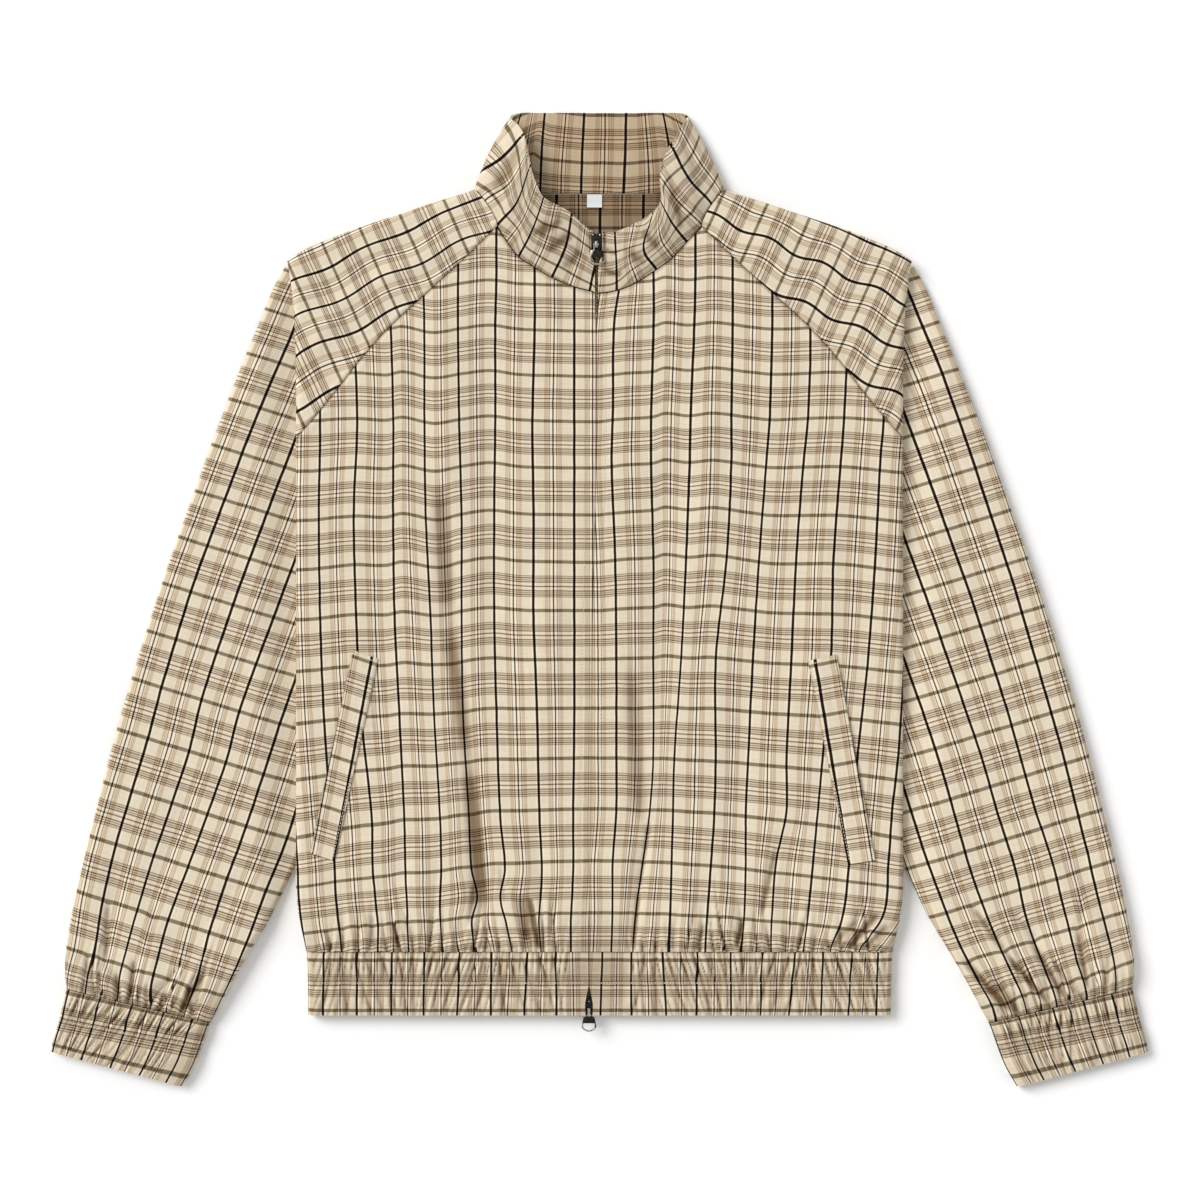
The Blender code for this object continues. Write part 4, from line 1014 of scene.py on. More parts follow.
def channel_puckers(step, swell, main, fine):
    """Height, level and painted shade of the puckers in a band's two channels; those of the upper are
    deeper.
    The painted shade also darkens the whole band a little, and its seam and middle stitching more.
    """
    full = np.maximum(swell, 0)
    upper = ease(-2.2, -1.8, -step)
    height = main * (0.5 + full * (0.9 + 0.7 * upper)) + fine * (0.4 + full * (0.3 + 0.6 * upper))
    painted_shade = 0.05 + in_crease(main) * (0.4 + full * (0.35 + 0.35 * upper))
    painted_shade = painted_shade + in_crease(fine) * (0.5 + full * (0.2 + 0.3 * upper))
    return height, main * (0.4 + 0.6 * upper), painted_shade + 0.5 * hill(step, 0.1) + 0.45 * hill(step - 2, 0.12)


def make_hem():
    """The hem band: each half runs from the zip over the front, round the side and to mid-back."""
    rows, columns = HEM_GRID
    step = spread(0, 4, rows).T
    y = read(HEM_ROWS, "step", "y", step) - SLIT * (step == 0)
    swell = read(HEM_ROWS, "step", "swell", step)
    edge = body_edge(y)
    fold = edge - ROLL
    top = HEM_HEIGHT + swell
    middle = HEM_HEIGHT / 2
    angles = np.linspace(pi / 2, -pi / 2, 15)[None, 1:-1]
    halves = []
    for side in (-1, 1):
        front_out = mix(side * centre_edge(side, y), fold, spread(0, 1, columns))
        lean = 4.5 * np.sin(front_out / 21 + side) * (step - 1.2)
        level, drawn, band_shade = channel_puckers(step, swell, pucker(HEM_GATHERS, front_out + lean),
                                             pucker(FINE_GATHERS, front_out - 2.5 * step + 0.5 * lean))
        front_line = top + level - 0.8 * hill(step, 0.12) - 0.9 * hill(step - 2, 0.14)
        arc_out = edge - ROLL * (1 - np.cos(angles))
        arc_z = middle + np.where(angles > 0, top - middle, middle) * np.sin(angles)
        back_out = mix(fold, 0 * edge, spread(0, 1, HEM_BACK_COLUMNS))
        walked = np.concatenate((front_out, fold + HEM_TURN * (pi / 2 - angles) + 0 * edge,
                                 2 * fold + HEM_TURN * pi - back_out), 1)
        warp = line_index(line_marks(HEM_WARPS[side], "y", y), walked, HEM_PITCH[0])
        warp[:, :columns] += 0.03 * drawn
        x = side * np.concatenate((front_out, arc_out, back_out), 1)
        points = np.stack((x, y + 0 * x, np.concatenate((front_line, arc_z, 0 * back_out), 1)), -1)
        # Painted shade in the puckers on the front; none round the side and on the back.
        painted_shade = np.concatenate((band_shade, 0 * arc_z, 0 * back_out), 1)
        halves.append((side, points, warp, ease(edge, 2 * edge, walked), painted_shade))
    # The two halves of the check meet at the middle of the back, so the rest is shared between them.
    total = halves[0][2][:, -1:] + halves[1][2][:, -1:]
    rest = (np.round(total[0, 0]) - total) / 2
    grids = []
    for side, points, warp, behind, painted_shade in halves:
        weft = line_index(HEM_WEFTS, points[..., 1], HEM_PITCH[1])
        grids.append((points, np.stack(((warp + rest * behind) * side, weft), -1), painted_shade))
    make_cloth("hem_band", *rounded(*grids), HEM_WALL, False, flat=(1.02, 0.056))


# ---------------------------------------------------------------- sleeves
SHOULDER_WAVES = {-1: (55.3, 11.7, -2.3), +1: (29.8, 7.9, 2.3)}     # where, how wide, how far the warp waves
SHOULDER_COS, SHOULDER_SIN = 0.91, 0.4147       # of the angle that the shoulder's check is turned by


def shoulder_check(side, out, y, inset, behind):
    """Warp and weft counts on a shoulder, whose cloth is turned along the shoulder line.

    `inset` is how far in from its top edge the cloth is; the warp counts on over that edge and down the
    back.
    """
    down = SHOULDER_SIN * out + SHOULDER_COS * y
    along = SHOULDER_COS * out - SHOULDER_SIN * y
    extra, whole = fold_walk(inset, ROLL)
    crest = down[:, -1:] + whole
    down = down - extra
    if behind:
        down = 2 * crest - down
    start, width, shift = SHOULDER_WAVES[side]
    down = down + shift * np.cos((along - start) / width) * ease(0, 35, crest - down)
    warp_pitch, weft_pitch = SHOULDER_PITCH
    return (line_index(SHOULDER_WARPS[side], down, warp_pitch),
            line_index(SHOULDER_WEFTS[side], along, weft_pitch))


def shoulder_rows(side, out, count):
    """Rows over the shoulder, from the front raglan seam round its top edge to the back seam."""
    share = (out - NECK_OUT) / (CHEST_HALF - NECK_OUT)
    top_out = mix(SHOULDER[0]["out"], TIP_OUT, share)
    bend = mix(NECK_BEND, TIP_BEND, share)
    top_y = read(SHOULDER, "out", "y", top_out)
    behind = mix(BACK_NECK_OUT, CHEST_HALF, share)
    halves = []
    for start, seam, level in ((out, FRONT_RAGLAN, front_z), (behind, BACK_RAGLAN, back_z)):
        start_y = read(seam, "out", "y", start) + SLIT
        span = np.hypot(top_out - start, top_y - start_y)
        stop = np.maximum(to_fold(0 * span, span, count), 0)
        x = side * mix(start, top_out, (stop / span) ** bend)
        y = mix(start_y, top_y, stop / span)
        halves.append((x, y, level(x, y), stop))
    return halves


def make_shoulder(side, node):
    rows, columns = SHOULDER_GRID
    outs = np.concatenate((np.linspace(NECK_OUT, CHEST_HALF - 7, rows),
                           CHEST_HALF - ROLL * (1 - np.sin(ROLL_ANGLES))))[:, None]
    grids = []
    for number, (x, y, z, stop) in enumerate(shoulder_rows(side, outs, columns)):
        painted_shade = 0 * z
        inset = stop[:, -1:] - stop
        if number == 0:
            inside = ease(0, 14, inset)
            z = z + 0.3 * ripple(x, y) * inside - 0.7 * hill(stop, 1.3) + 0.7 * hill(stop - 4, 2.6)
            # Painted shade along the raglan seam.
            painted_shade = 0.5 * hill(stop, 0.8)
        z[-1, 0] += -SLIT if number else SLIT       # the two faces stay apart at the armpit
        repeats = np.stack(shoulder_check(side, np.abs(x), y, inset, number == 1), -1)
        grids.append((np.stack((x, y, z), -1), repeats, painted_shade))
    make_cloth(node, *rounded(*grids), BODY_WALL, side > 0, flat=(0.33, 0.24), area=0.036,
               rests_on=["back_panel_cloth"])


ARM_GATHERS = gathers(6, 116, 12)       # main puckers, in millimetres from the inner end of the cuff's seam
FINE_ARM_GATHERS = gathers(5, 117, 27)
ARM_GATHER_HEIGHT = table(
    "away main fine",
    (0, 0.8, 0.5), (5, 1.9, 0.9), (12, 2.2, 0.6), (22, 1.6, 0.2), (36, 0.8, 0.05), (54, 0.2, 0.0),
    (75, 0.0, 0.0),
)
ARM_CREASES = {             # sharp folds of the arms above the cuffs
    +1: table(
        "out1 y1 out2 y2 width height",
        (311, -257, 340, -297, 3.5, -2.0), (340, -297, 374, -337, 3.0, -2.6),
        (361, -286, 391, -337, 3.0, -2.4), (399, -274, 408, -328, 3.0, -2.2),
        (303, -300, 345, -346, 3.5, -2.4), (330, -318, 352, -348, 3.0, -2.0),
        (378, -300, 399, -333, 2.5, -2.0), (424, -296, 424, -326, 2.5, -1.6),
        (401, -246, 402, -272, 3.0, -1.4), (345, -262, 366, -286, 4.0, -1.2),
    ),
    -1: table(
        "out1 y1 out2 y2 width height",
        (411, -253, 413, -303, 3.0, -1.8), (389, -300, 392, -337, 3.0, -2.2),
        (331, -312, 352, -348, 3.5, -2.6), (404, -312, 401, -337, 2.5, -2.2),
        (378, -320, 380, -345, 2.5, -1.8), (363, -326, 370, -348, 2.5, -2.0),
        (345, -322, 340, -350, 2.5, -1.8), (428, -296, 427, -330, 2.5, -1.6),
        (372, -255, 378, -290, 5.0, -1.2),
    ),
}


def arm_puckers(side, across, away):
    """The gathers above a cuff, `across` from its seam's inner end; each leans and reaches its own way."""
    start = across + away * (0.2 * np.sin(across / 13 + 2 * side) + 0.16 * np.sin(across / 5.3))
    away = away / (1 + 0.35 * np.sin(start / 6.1 + side) + 0.2 * np.sin(start / 15.0))
    return gathered(pucker(ARM_GATHERS, start), pucker(FINE_ARM_GATHERS, start + 0.1 * away), away,
                    ARM_GATHER_HEIGHT)


def tube_shares(width, roll_inner, count):
    """Shares of a tube's width from its inner edge to its outer one, close together in its turned edges."""
    low = roll_inner / width * (1 - np.cos(ROLL_ANGLES[None, :-1]))
    high = 1 - ROLL / width * ROLL_INSETS
    return np.concatenate((low, mix(roll_inner / width, 1 - ROLL / width, spread(0, 1, count)), high), 1)


def arm_check(side, out, y, edge_levels, edge_outs, outer, inner, under):
    """Warp and weft counts on an arm; `under` marks its underside, where the warp counts on past the fold.

    `outer` and `inner` are what `fold_walk` says of its two folds.
    """
    level = y - ARM_SLOPE * out
    edge = np.interp(level, edge_levels, edge_outs)
    inward = (edge - out) * np.hypot(1, ARM_SLOPE) + outer[0] - inner[0]
    if under:
        inward = -inward - 2 * outer[1]
    warp = line_index(line_marks(ARM_WARPS[side], "level", level), inward, ARM_PITCH[0])
    return warp, line_index(ARM_WEFTS[side], level, ARM_PITCH[1])


def make_arm(side, node):
    """An arm: a flattened tube, its rows from the cuff's seam up, first its top face, then its underside."""
    rows, columns = ARM_GRID
    bottom, top = ARM_ROWS[0]["outer_y"], ARM_ROWS[-1]["outer_y"]
    outer_y = mix(bottom, top, rows_up(rows, 0.5))
    outer_x, inner_x, inner_y, height = (read(ARM_ROWS, "outer_y", key, outer_y)
                                         for key in ("outer_x", "inner_x", "inner_y", "height"))
    width = np.hypot(outer_x - inner_x, outer_y - inner_y)
    roll_inner = np.minimum(mix(ROLL, 3.5, ease(-260, -200, outer_y)), width * 0.4)
    away = outer_y - bottom
    levels = np.linspace(bottom - 90, top + 40, 400)
    edge_outs = read(ARM_ROWS, "outer_y", "outer_x", levels)
    edge_levels = levels - ARM_SLOPE * edge_outs
    sides = []
    for under in (False, True):
        share = tube_shares(np.maximum(width, 13), roll_inner, UNDER_COLUMNS if under else columns)
        x = mix(inner_x, outer_x, share)
        y = mix(inner_y, outer_y, share)
        shown = ease(CHEST_HALF + 1, CHEST_HALF + 34, x)
        high = mix(UNDER_BODY, height, shown) + folds(ARM_FOLDS[side], "out", x, y) * shown
        parted = turn(share * width, roll_inner) * turn((1 - share) * width)
        outer = fold_walk((1 - share) * width, high / 2)
        inner = fold_walk(share * width, high / 2, roll_inner)
        warp, weft = arm_check(side, x, y, edge_levels, edge_outs, outer, inner, under)
        painted_shade = 0 * share
        if under:
            z = mix(high / 2, 0 * high, parted)
        else:
            puckers, level, painted_shade = arm_puckers(side, share * CUFF_WIDTH, away)
            creases = folds(ARM_CREASES[side], "out", x, y)
            inside = ease(0, 14, np.minimum(share, 1 - share) * width) * shown
            groove = 0.7 * hill(away, 1.6)
            z = mix(high / 2, high + puckers + creases - groove + 0.35 * ripple(x, y) * inside, parted)
            # Painted shade in the creases and along the cuff's seam, added to that of the puckers.
            painted_shade = painted_shade + 0.9 * ease(0.4, 2.5, -creases) + 0.4 * hill(away, 1.0)
            warp = warp + 0.05 * level
            weft = weft - 0.03 * level - 0.03 * creases
        z[-1, :] = ARM_ROWS[-1]["height"] / 2
        x[0] += ARM_SLIT[0]
        y[0] += ARM_SLIT[1]
        sides.append((np.stack((side * x, y, z), -1), np.stack((warp, weft), -1), painted_shade))
    make_cloth(node, *rounded(*sides), BODY_WALL, side < 0, flat=(0.40, 0.64), area=0.20)


CUFF_WARPS = {              # shares of the cuff's width from its inner edge
    -1: (0.12, 0.32, 0.54, 0.76, 0.98), +1: (0.0, 0.2, 0.44, 0.65, 0.85),
}
CUFF_LEAN = {-1: 4.6, +1: -2.4}     # how far a pucker leans outwards at each step down a cuff


def cuff_ends(step):
    """Inner and outer end of a cuff's row, as (2, ...) arrays of out and y."""
    return [np.array([read(CUFF_ROWS, "step", f"{end}_{axis}", step) for axis in "xy"])
            for end in ("inner", "outer")]


def make_cuff(side, node):
    """A cuff: a flattened tube like the arm's, its rows from its seam down."""
    rows, columns = CUFF_GRID
    step = spread(0, 4, rows).T
    inner, outer = cuff_ends(step)
    width = np.hypot(*(outer - inner))
    swell = read(CUFF_ROWS, "step", "swell", step)
    high = CUFF_HEIGHT + swell
    sides = []
    for under in (False, True):
        share = tube_shares(width, ROLL, UNDER_COLUMNS if under else columns)
        x, y = mix(inner, outer, share)
        parted = turn(share * width) * turn((1 - share) * width)
        warp = line_index(CUFF_WARPS[side], -share if under else share, CUFF_PITCH)
        painted_shade = 0 * share
        if under:
            z = mix(high / 2, 0 * share, parted)
        else:
            across = share * CUFF_WIDTH
            lean = (CUFF_LEAN[side] + 2.0 * np.sin(across / 11)) * step
            # The puckers bring their painted shade with them.
            level, drawn, painted_shade = channel_puckers(step, swell, pucker(ARM_GATHERS, across - lean),
                                                   pucker(FINE_ARM_GATHERS, across - 0.6 * lean - step))
            groove = 0.8 * hill(step, 0.12) + 0.8 * hill(step - 2, 0.12)
            z = mix(high / 2, high + level - groove, parted)
            warp = warp + 0.025 * drawn
        x[0] += CUFF_SLIT[0]
        y[0] += CUFF_SLIT[1]
        weft = (step - 0.2) / 3.3 + 0 * share
        sides.append((np.stack((side * x, y, z), -1), np.stack((warp, weft), -1), painted_shade))
    make_cloth(node, *rounded(*sides), CUFF_WALL, side > 0, flat=(0.24, 0.056))


# ---------------------------------------------------------------- collar
def collar_seam(side):
    """The seam's points on one half, from the zip round to the middle of the back neck."""
    start = centre_edge(side, read(COLLAR_SEAM, "x", "y", 0.0))
    outs = np.linspace(14, 77, 22)
    front_x = np.concatenate(([start], side * np.linspace(4, 12, 3), side * outs))
    front_y = read(COLLAR_SEAM, "x", "y", front_x)
    front_y[0] = read(COLLAR_SEAM, "x", "y", 0.0)
    over, behind = (np.stack([part[0] for part in half[:3]], -1)
                    for half in shoulder_rows(side, np.array([[NECK_OUT]]), 9))
    back_x = side * np.linspace(66, 3, 22)
    return np.concatenate((np.stack((front_x, front_y, front_z(front_x, front_y)), -1), over, behind[-2::-1],
                           np.stack((back_x, np.full_like(back_x, BACK_NECK_Y), 0 * back_x), -1)))


COLLAR_WARPS = {            # black lines by how far round they lie, at steps from the seam to the top edge
    -1: table(
        "step a b c d e f g h i",
        (0.0, 5.1, 38.5, 71.5, 103.2, 150, 173, 196.4, 231, 264),
        (0.5, -1.0, 29.0, 64.5, 94.5, 132, 158, 187.5, 228.5, 270),
        (1.0, -7.0, 26.5, 59.0, 101.0, 126.5, 151, 179, 226, 277),
    ),
    +1: table(
        "step a b c d e f g h",
        (0.0, 15.8, 53, 88, 127, 152, 187, 230, 263), (0.5, 17.5, 43, 80, 121, 147, 179, 223.5, 265),
        (1.0, 18.4, 57, 73, 125, 146, 173, 216, 267),
    ),
}
COLLAR_LINES = 14           # black lines from one front edge of the collar round to the other
COLLAR_WEFTS = {            # steps of its two grey lines
    -1: table(
        "walk low high",
        (0, 0.09, 0.69), (28, 0.18, 0.72), (54, 0.18, 0.65), (69, 0.19, 0.65), (81, 0.27, 0.64),
        (103, 0.19, 0.72), (124, 0.14, 0.81), (148, 0.10, 0.95), (176, 0.49, 1.06), (190, 0.43, 1.02),
        (230, 0.38, 0.97), (250, 0.38, 0.97),
    ),
    +1: table(
        "walk low high",
        (0, 0.11, 0.67), (14, 0.12, 0.66), (31, 0.24, 0.63), (48, 0.26, 0.57), (62, 0.29, 0.66),
        (80, 0.32, 0.82), (95, 0.27, 0.88), (127, 0.16, 0.66), (150, 0.26, 0.82), (176, 0.41, 0.99),
        (206, 0.39, 0.97), (227, 0.37, 0.97), (250, 0.38, 0.97),
    ),
}
COLLAR_FOLDS = {            # soft folds of the collar, by the distance walked round and up from the seam
    -1: table(
        "walk1 y1 walk2 y2 width height",
        (24, 48, 44, 22, 4.0, -1.6), (34, 56, 56, 30, 4.0, -1.4), (12, 40, 30, 12, 4.0, -1.2),
        (50, 46, 64, 24, 3.5, -1.1), (96, 8, 116, 60, 6.0, 1.4), (84, 30, 100, 58, 5.0, -1.0),
        (124, 10, 122, 62, 7.0, -1.2), (66, 12, 86, 48, 7.0, 1.0),
    ),
    +1: table(
        "walk1 y1 walk2 y2 width height",
        (4, 26, 22, 14, 3.5, -1.5), (6, 48, 20, 40, 3.0, -1.2), (28, 42, 44, 12, 4.0, -1.2),
        (44, 52, 58, 20, 4.0, -1.4), (58, 60, 74, 30, 5.0, 1.2), (88, 12, 104, 54, 6.0, -1.3),
        (112, 8, 122, 60, 7.0, 1.5), (124, 14, 128, 60, 4.0, -1.2),
    ),
}


def collar_half(side):
    """Columns of the collar from the zip round to the back, each from its seam up to its top edge."""
    seam = collar_seam(side)
    walk = np.concatenate(([0.0], np.cumsum(np.hypot(*np.diff(seam[:, :2], axis=0).T))))
    steps = np.arange(0, walk[-1], COLLAR_STEP)
    seam = np.stack([np.interp(steps, walk, seam[:, axis]) for axis in range(3)], -1)
    walk = steps[:, None]
    top = np.stack([read(COLLAR_TOP[side], "walk", name, steps) for name in ("out", "y", "z")], -1)
    top[:, 0] *= side
    top[:, 2] = np.maximum(top[:, 2], 0.0)
    ahead = top - seam
    seam = seam + ahead / np.linalg.norm(ahead, axis=1, keepdims=True) * 0.6
    step = spread(0, 1, COLLAR_ROWS)
    points = mix(seam[:, None, :], top[:, None, :], step[..., None])
    beside = ease(-BACK_WALK, -BACK_WALK + 14, -walk)
    creases = folds(COLLAR_FOLDS[side], "walk", walk, COLLAR_STAND * step)
    creases = creases * (ease(0, 0.12, step) * ease(0, 0.1, 1 - step) * beside)
    edge = 0.5 * hill(COLLAR_STAND * step, 1.4) + 0.35 * hill(COLLAR_STAND * (1 - step) - 3, 1.2)
    swell = 4 * step * (1 - step) * read(COLLAR_BOW, "walk", "bow", walk) + creases - edge * beside
    outward = ease(115, 142, walk)
    points[..., 0] += side * swell * outward
    points[..., 2] += swell * (1 - outward)
    points[0, :, 0] = centre_edge(side, points[0, :, 1])
    warp = line_index(line_marks(COLLAR_WARPS[side], "step", step), walk, COLLAR_PITCH)
    low, high = (read(COLLAR_WEFTS[side], "walk", name, walk) for name in ("low", "high"))
    # Painted shade in the folds, along the seam, and lightly over the collar's front.
    painted_shade = 0.75 * ease(0.1, 1.7, -creases) + 0.3 * hill(COLLAR_STAND * step, 0.8)
    painted_shade = painted_shade + mix(0.17, 0.06, ease(100, 130, walk)) * ease(-BACK_WALK, -BACK_WALK + 8, -walk)
    return steps, points, warp, (step - low) / (high - low), painted_shade


def make_collar():
    right, left = collar_half(-1)[1:], collar_half(1)[1:]
    left = (left[0], COLLAR_LINES - left[1], *left[2:])
    joined = (np.concatenate((one, other[::-1])) for one, other in zip(right, left))
    points, warp, weft, painted_shade = (np.swapaxes(part, 0, 1) for part in joined)
    make_cloth("collar", points, np.stack((warp, weft), -1), painted_shade, COLLAR_WALL, True, flat=(0.51, 0.08),
               area=0.034)


# ---------------------------------------------------------------- trims
def height_on(piece, x, y):
    """The height of a piece's top under (x, y), in millimetres."""
    hit, spot, _, _ = piece.ray_cast(Vector((x, y, 60.0)) * MM, Vector((0, 0, -1)))
    return spot.z / MM if hit else np.nan


def make_welt(side, panel, node):
    """A pocket welt: a strip laid on the front, its opening towards the side."""
    inner_top, outer_top, outer_end, inner_end = np.array(WELTS[side])
    rows, columns = WELT_GRID
    along, across = spread(0, 1, rows).T, spread(0, 1, columns)
    plan = mix(mix(inner_top, outer_top, across[..., None]), mix(inner_end, outer_end, across[..., None]),
               along[..., None])
    heights = np.array([[height_on(panel, *spot) for spot in row] for row in plan])
    width = WELT_WIDTH * across
    length = WELT_LENGTH * along
    left = WELT_LENGTH - length
    # It is thickest at the open edge, where it is folded, and pressed down where it is stitched.
    stitched = hill(width - WELT_STITCH_INSET, 0.9) + hill(length - 3, 1.2) + hill(left - 3, 1.2)
    z = heights + CLEAR + WELT_WALL * (1 - 0.4 * hill(width, 0.8)) - 0.45 * np.minimum(stitched, 1)
    z = z + 0.5 * ease(12, 20, width) * ease(4, 20, length) * ease(4, 20, left)
    warp = (width - mix(5.5, 1.0, along)) / WARP_REPEAT
    weft = (length - 5) / HEM_PITCH[1] + 0 * warp
    # Painted shade along both long edges, where the welt meets the front and at its open edge.
    painted_shade = 0.5 * hill(width, 0.7) + 0.55 * hill(WELT_WIDTH - width, 0.9) + 0 * length
    make_cloth(node, np.concatenate((plan, z[..., None]), -1), np.stack((warp, weft), -1), painted_shade, WELT_WALL,
               side > 0, flat=(0.025, 0.175), rests_on=[panel.name])


# ---------------------------------------------------------------- sewing
ZIP_STITCH_INSET = 7.5      # from a front edge to the row of stitching beside the zip
WELT_STITCH_INSET = 1.8
SEWING_THREADS = {"beige_thread": "#cdbb9b", "pale_thread": "#eee2cb"}
STITCHES = table(           # how far apart the stitches are, how long and thick, how high above the cloth
    "name pitch long thick rise thread",
    ("zip_stitching", 3.0, 2.1, 0.5, 0.02, "beige_thread"),
    ("welt_stitching", 2.8, 2.0, 0.6, 0.05, "pale_thread"),
    ("band_stitching", 2.5, 1.9, 0.85, 0.1, "pale_thread"),
    ("collar_stitching", 3.0, 2.0, 0.55, 0.05, "pale_thread"),
)
WELT_END_PITCH = 2.6        # of the stitches across a welt's ends


def unit(ways):
    return ways / np.linalg.norm(ways, axis=-1, keepdims=True)


def stitch_form():
    """One stitch: a low bead, 1 long and 1 thick, as vertices and faces."""
    deselect_all()
    bpy.ops.mesh.primitive_uv_sphere_add(segments=6, ring_count=4, radius=0.5, rotation=(0, pi / 2, 0))
    bpy.ops.object.transform_apply(location=False, rotation=True, scale=False)
    return take_form(bpy.context.object)


def walk_along(line, pitch):
    """Places a pitch apart along a line of (x, y) or (x, y, z), and the way that the line runs there."""
    line = np.asarray(line, float)
    run = np.concatenate(([0.0], np.cumsum(np.linalg.norm(np.diff(line, axis=0), axis=1))))
    at = np.arange(pitch / 2, run[-1], pitch)
    before, spots, after = (np.stack([np.interp(at + shift, run, part) for part in line.T], -1)
                            for shift in (-0.5, 0.0, 0.5))
    return spots, unit(after - before)


def laid_on(piece, line, pitch, rise):
    """The same on top of a piece, `rise` above it."""
    spots = np.array([(x, y, height_on(piece, x, y) + rise) for x, y in walk_along(line, pitch)[0]])
    spots = spots[np.isfinite(spots[:, 2])]
    return spots, unit(np.gradient(spots, axis=0))


def copies(name, form, places, sizes, material):
    """One mesh of many copies of a form, each turned along its own way.

    `sizes` are along that way, across it and up.
    """
    verts, faces = form
    spots, ahead = (np.concatenate(parts) for parts in zip(*places))
    across = unit(np.cross((0.0, 0.0, 1.0), ahead))
    axes = (ahead, across, np.cross(ahead, across))
    turned = sum(verts[None, :, n, None] * sizes[n] * axis[:, None, :] for n, axis in enumerate(axes))
    points = (spots[:, None, :] + turned).reshape(-1, 3) * MM
    every = [[number * len(verts) + n for n in face] for number in range(len(spots)) for face in faces]
    mesh = bpy.data.meshes.new(name)
    mesh.from_pydata(points.tolist(), [], every)
    mesh.materials.append(material)
    piece = add_object(name, mesh)
    bpy.ops.object.shade_smooth_by_angle(angle=radians(50))
    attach(piece, "jacket")


def zip_rows(row):
    for word, side in HALVES:
        y = np.linspace(HEM_SEAM_Y + 2, read(COLLAR_SEAM, "x", "y", 0.0) - 4, 300)
        line = np.stack((centre_edge(side, y) + side * ZIP_STITCH_INSET, y), -1)
        yield laid_on(CLOTHS[f"front_{word}"], line, row["pitch"], row["rise"])


def welt_rows(row):
    """A row down each welt's fold, and one across each of its ends."""
    for word, side in HALVES:
        inner_top, outer_top, outer_end, inner_end = np.array(WELTS[side])
        inset = (outer_top - inner_top) / WELT_WIDTH * WELT_STITCH_INSET
        down = unit(inner_end - inner_top)
        for start, end, pitch in (
            (inner_top + inset + 2 * down, inner_end + inset - 2 * down, row["pitch"]),
            (inner_top + inset + 3 * down, outer_top - inset / 2 + 3 * down, WELT_END_PITCH),
            (inner_end + inset - 3 * down, outer_end - inset / 2 - 3 * down, WELT_END_PITCH),
        ):
            yield laid_on(CLOTHS[f"pocket_welt_{word}"], (start, end), pitch, row["rise"])


def band_rows(row):
    """The beaded row between the two channels of the hem and of each cuff."""
    y = float(read(HEM_ROWS, "step", "y", np.array(2.0)))
    for word, side in HALVES:
        xs = np.linspace(side * 238, centre_edge(side, y) + side * 3, 200)
        inner, outer = (end * (side, 1) for end in cuff_ends(np.array(2.0)))
        yield laid_on(CLOTHS["hem_band"], np.stack((xs, y + 0 * xs), -1), row["pitch"], row["rise"])
        yield laid_on(CLOTHS[f"cuff_{word}"], [mix(inner, outer, share) for share in (0.035, 0.965)],
                      row["pitch"], row["rise"])


def collar_rows(row):
    """A row along the collar's top edge, round to the back of the neck."""
    for side in (-1, 1):
        walk, points = collar_half(side)[:2]
        yield walk_along(points[walk < BACK_WALK - 12, -3] + (0.0, 0.0, row["rise"]), row["pitch"])


# ---------------------------------------------------------------- zip and label
CHAIN_HEIGHT = 2.4
TAPE_HALF = 12.0
TAPE_WALL = 1.0
ZIP_TOP_Y, ZIP_LOW_Y = 299.0, -338.0
TOOTH_PITCH = 2.4


def chain_z(y):
    """The level of the middle of the zip's chain, hung just under the two front edges."""
    over_seam = mix(front_z(-2.6, 255.0), 19.5, ease(250, 306, y)) - COLLAR_WALL
    edge = front_z(read(CENTRE_FRONT, "y", "x", y), y) - BODY_WALL
    edge = edge - (HEM_WALL - BODY_WALL) * ease(-HEM_SEAM_Y - 25, -HEM_SEAM_Y - 4, -y)
    edge = edge - (COLLAR_WALL - BODY_WALL) * ease(235, 253, y)
    edge = np.where(y > 255, over_seam, edge)
    edge = np.where(y > HEM_SEAM_Y - 4, edge, HEM_HEIGHT - HEM_WALL - 1.7)
    return edge - CLEAR - CHAIN_HEIGHT / 2


def make_tape():
    """The two woven tapes, as one band behind the front edges."""
    rows, columns = TAPE_GRID
    y = spread(ZIP_LOW_Y, ZIP_TOP_Y, rows).T
    across = spread(-TAPE_HALF, TAPE_HALF, columns)
    x = read(CENTRE_FRONT, "y", "x", y) + across
    z = chain_z(y) + TAPE_WALL / 2 - 0.15 * hill(np.abs(across) - TAPE_HALF, 1.0) + 0 * x
    repeats = np.stack((across / 10 + 0 * y, y / 10 + 0 * across), -1)
    tape = finish("woven_zip_tape", ribbed_weave)
    piece = shell("zip_tapes", np.stack((x, y + 0 * x, z), -1), repeats, TAPE_WALL, (tape,))
    dress(piece, "zip_tape", "tape", flat=(0.024, 0.637), rests_on=["back_panel_cloth"],
          with_pieces=("zip_teeth",))


def tooth_form():
    """One tooth of the chain: a block with its edges broken, 1 long, 1 wide and 1 high."""
    deselect_all()
    bpy.ops.mesh.primitive_cube_add(size=1.0)
    block = bpy.context.object
    apply_modifier(block, "edges", "BEVEL", width=0.14, segments=1)
    return take_form(block)


def make_teeth():
    """The closed chain: teeth from each tape in turn, which meet in the middle."""
    places = []
    for side in (-1, 1):
        y = np.arange(ZIP_LOW_Y + 2 + (side > 0) * TOOTH_PITCH / 2, ZIP_TOP_Y - 2, TOOTH_PITCH)
        x = read(CENTRE_FRONT, "y", "x", y) + side * 0.9
        spots = np.stack((x, y, chain_z(y) + 0.25), -1)
        places.append((spots, np.tile((0.0, 1.0, 0.0), (len(y), 1))))
    copies("zip_teeth", tooth_form(), places, (TOOTH_PITCH * 0.62, 3.2, CHAIN_HEIGHT - 0.5),
           finish("oxidised_bronze", plating))


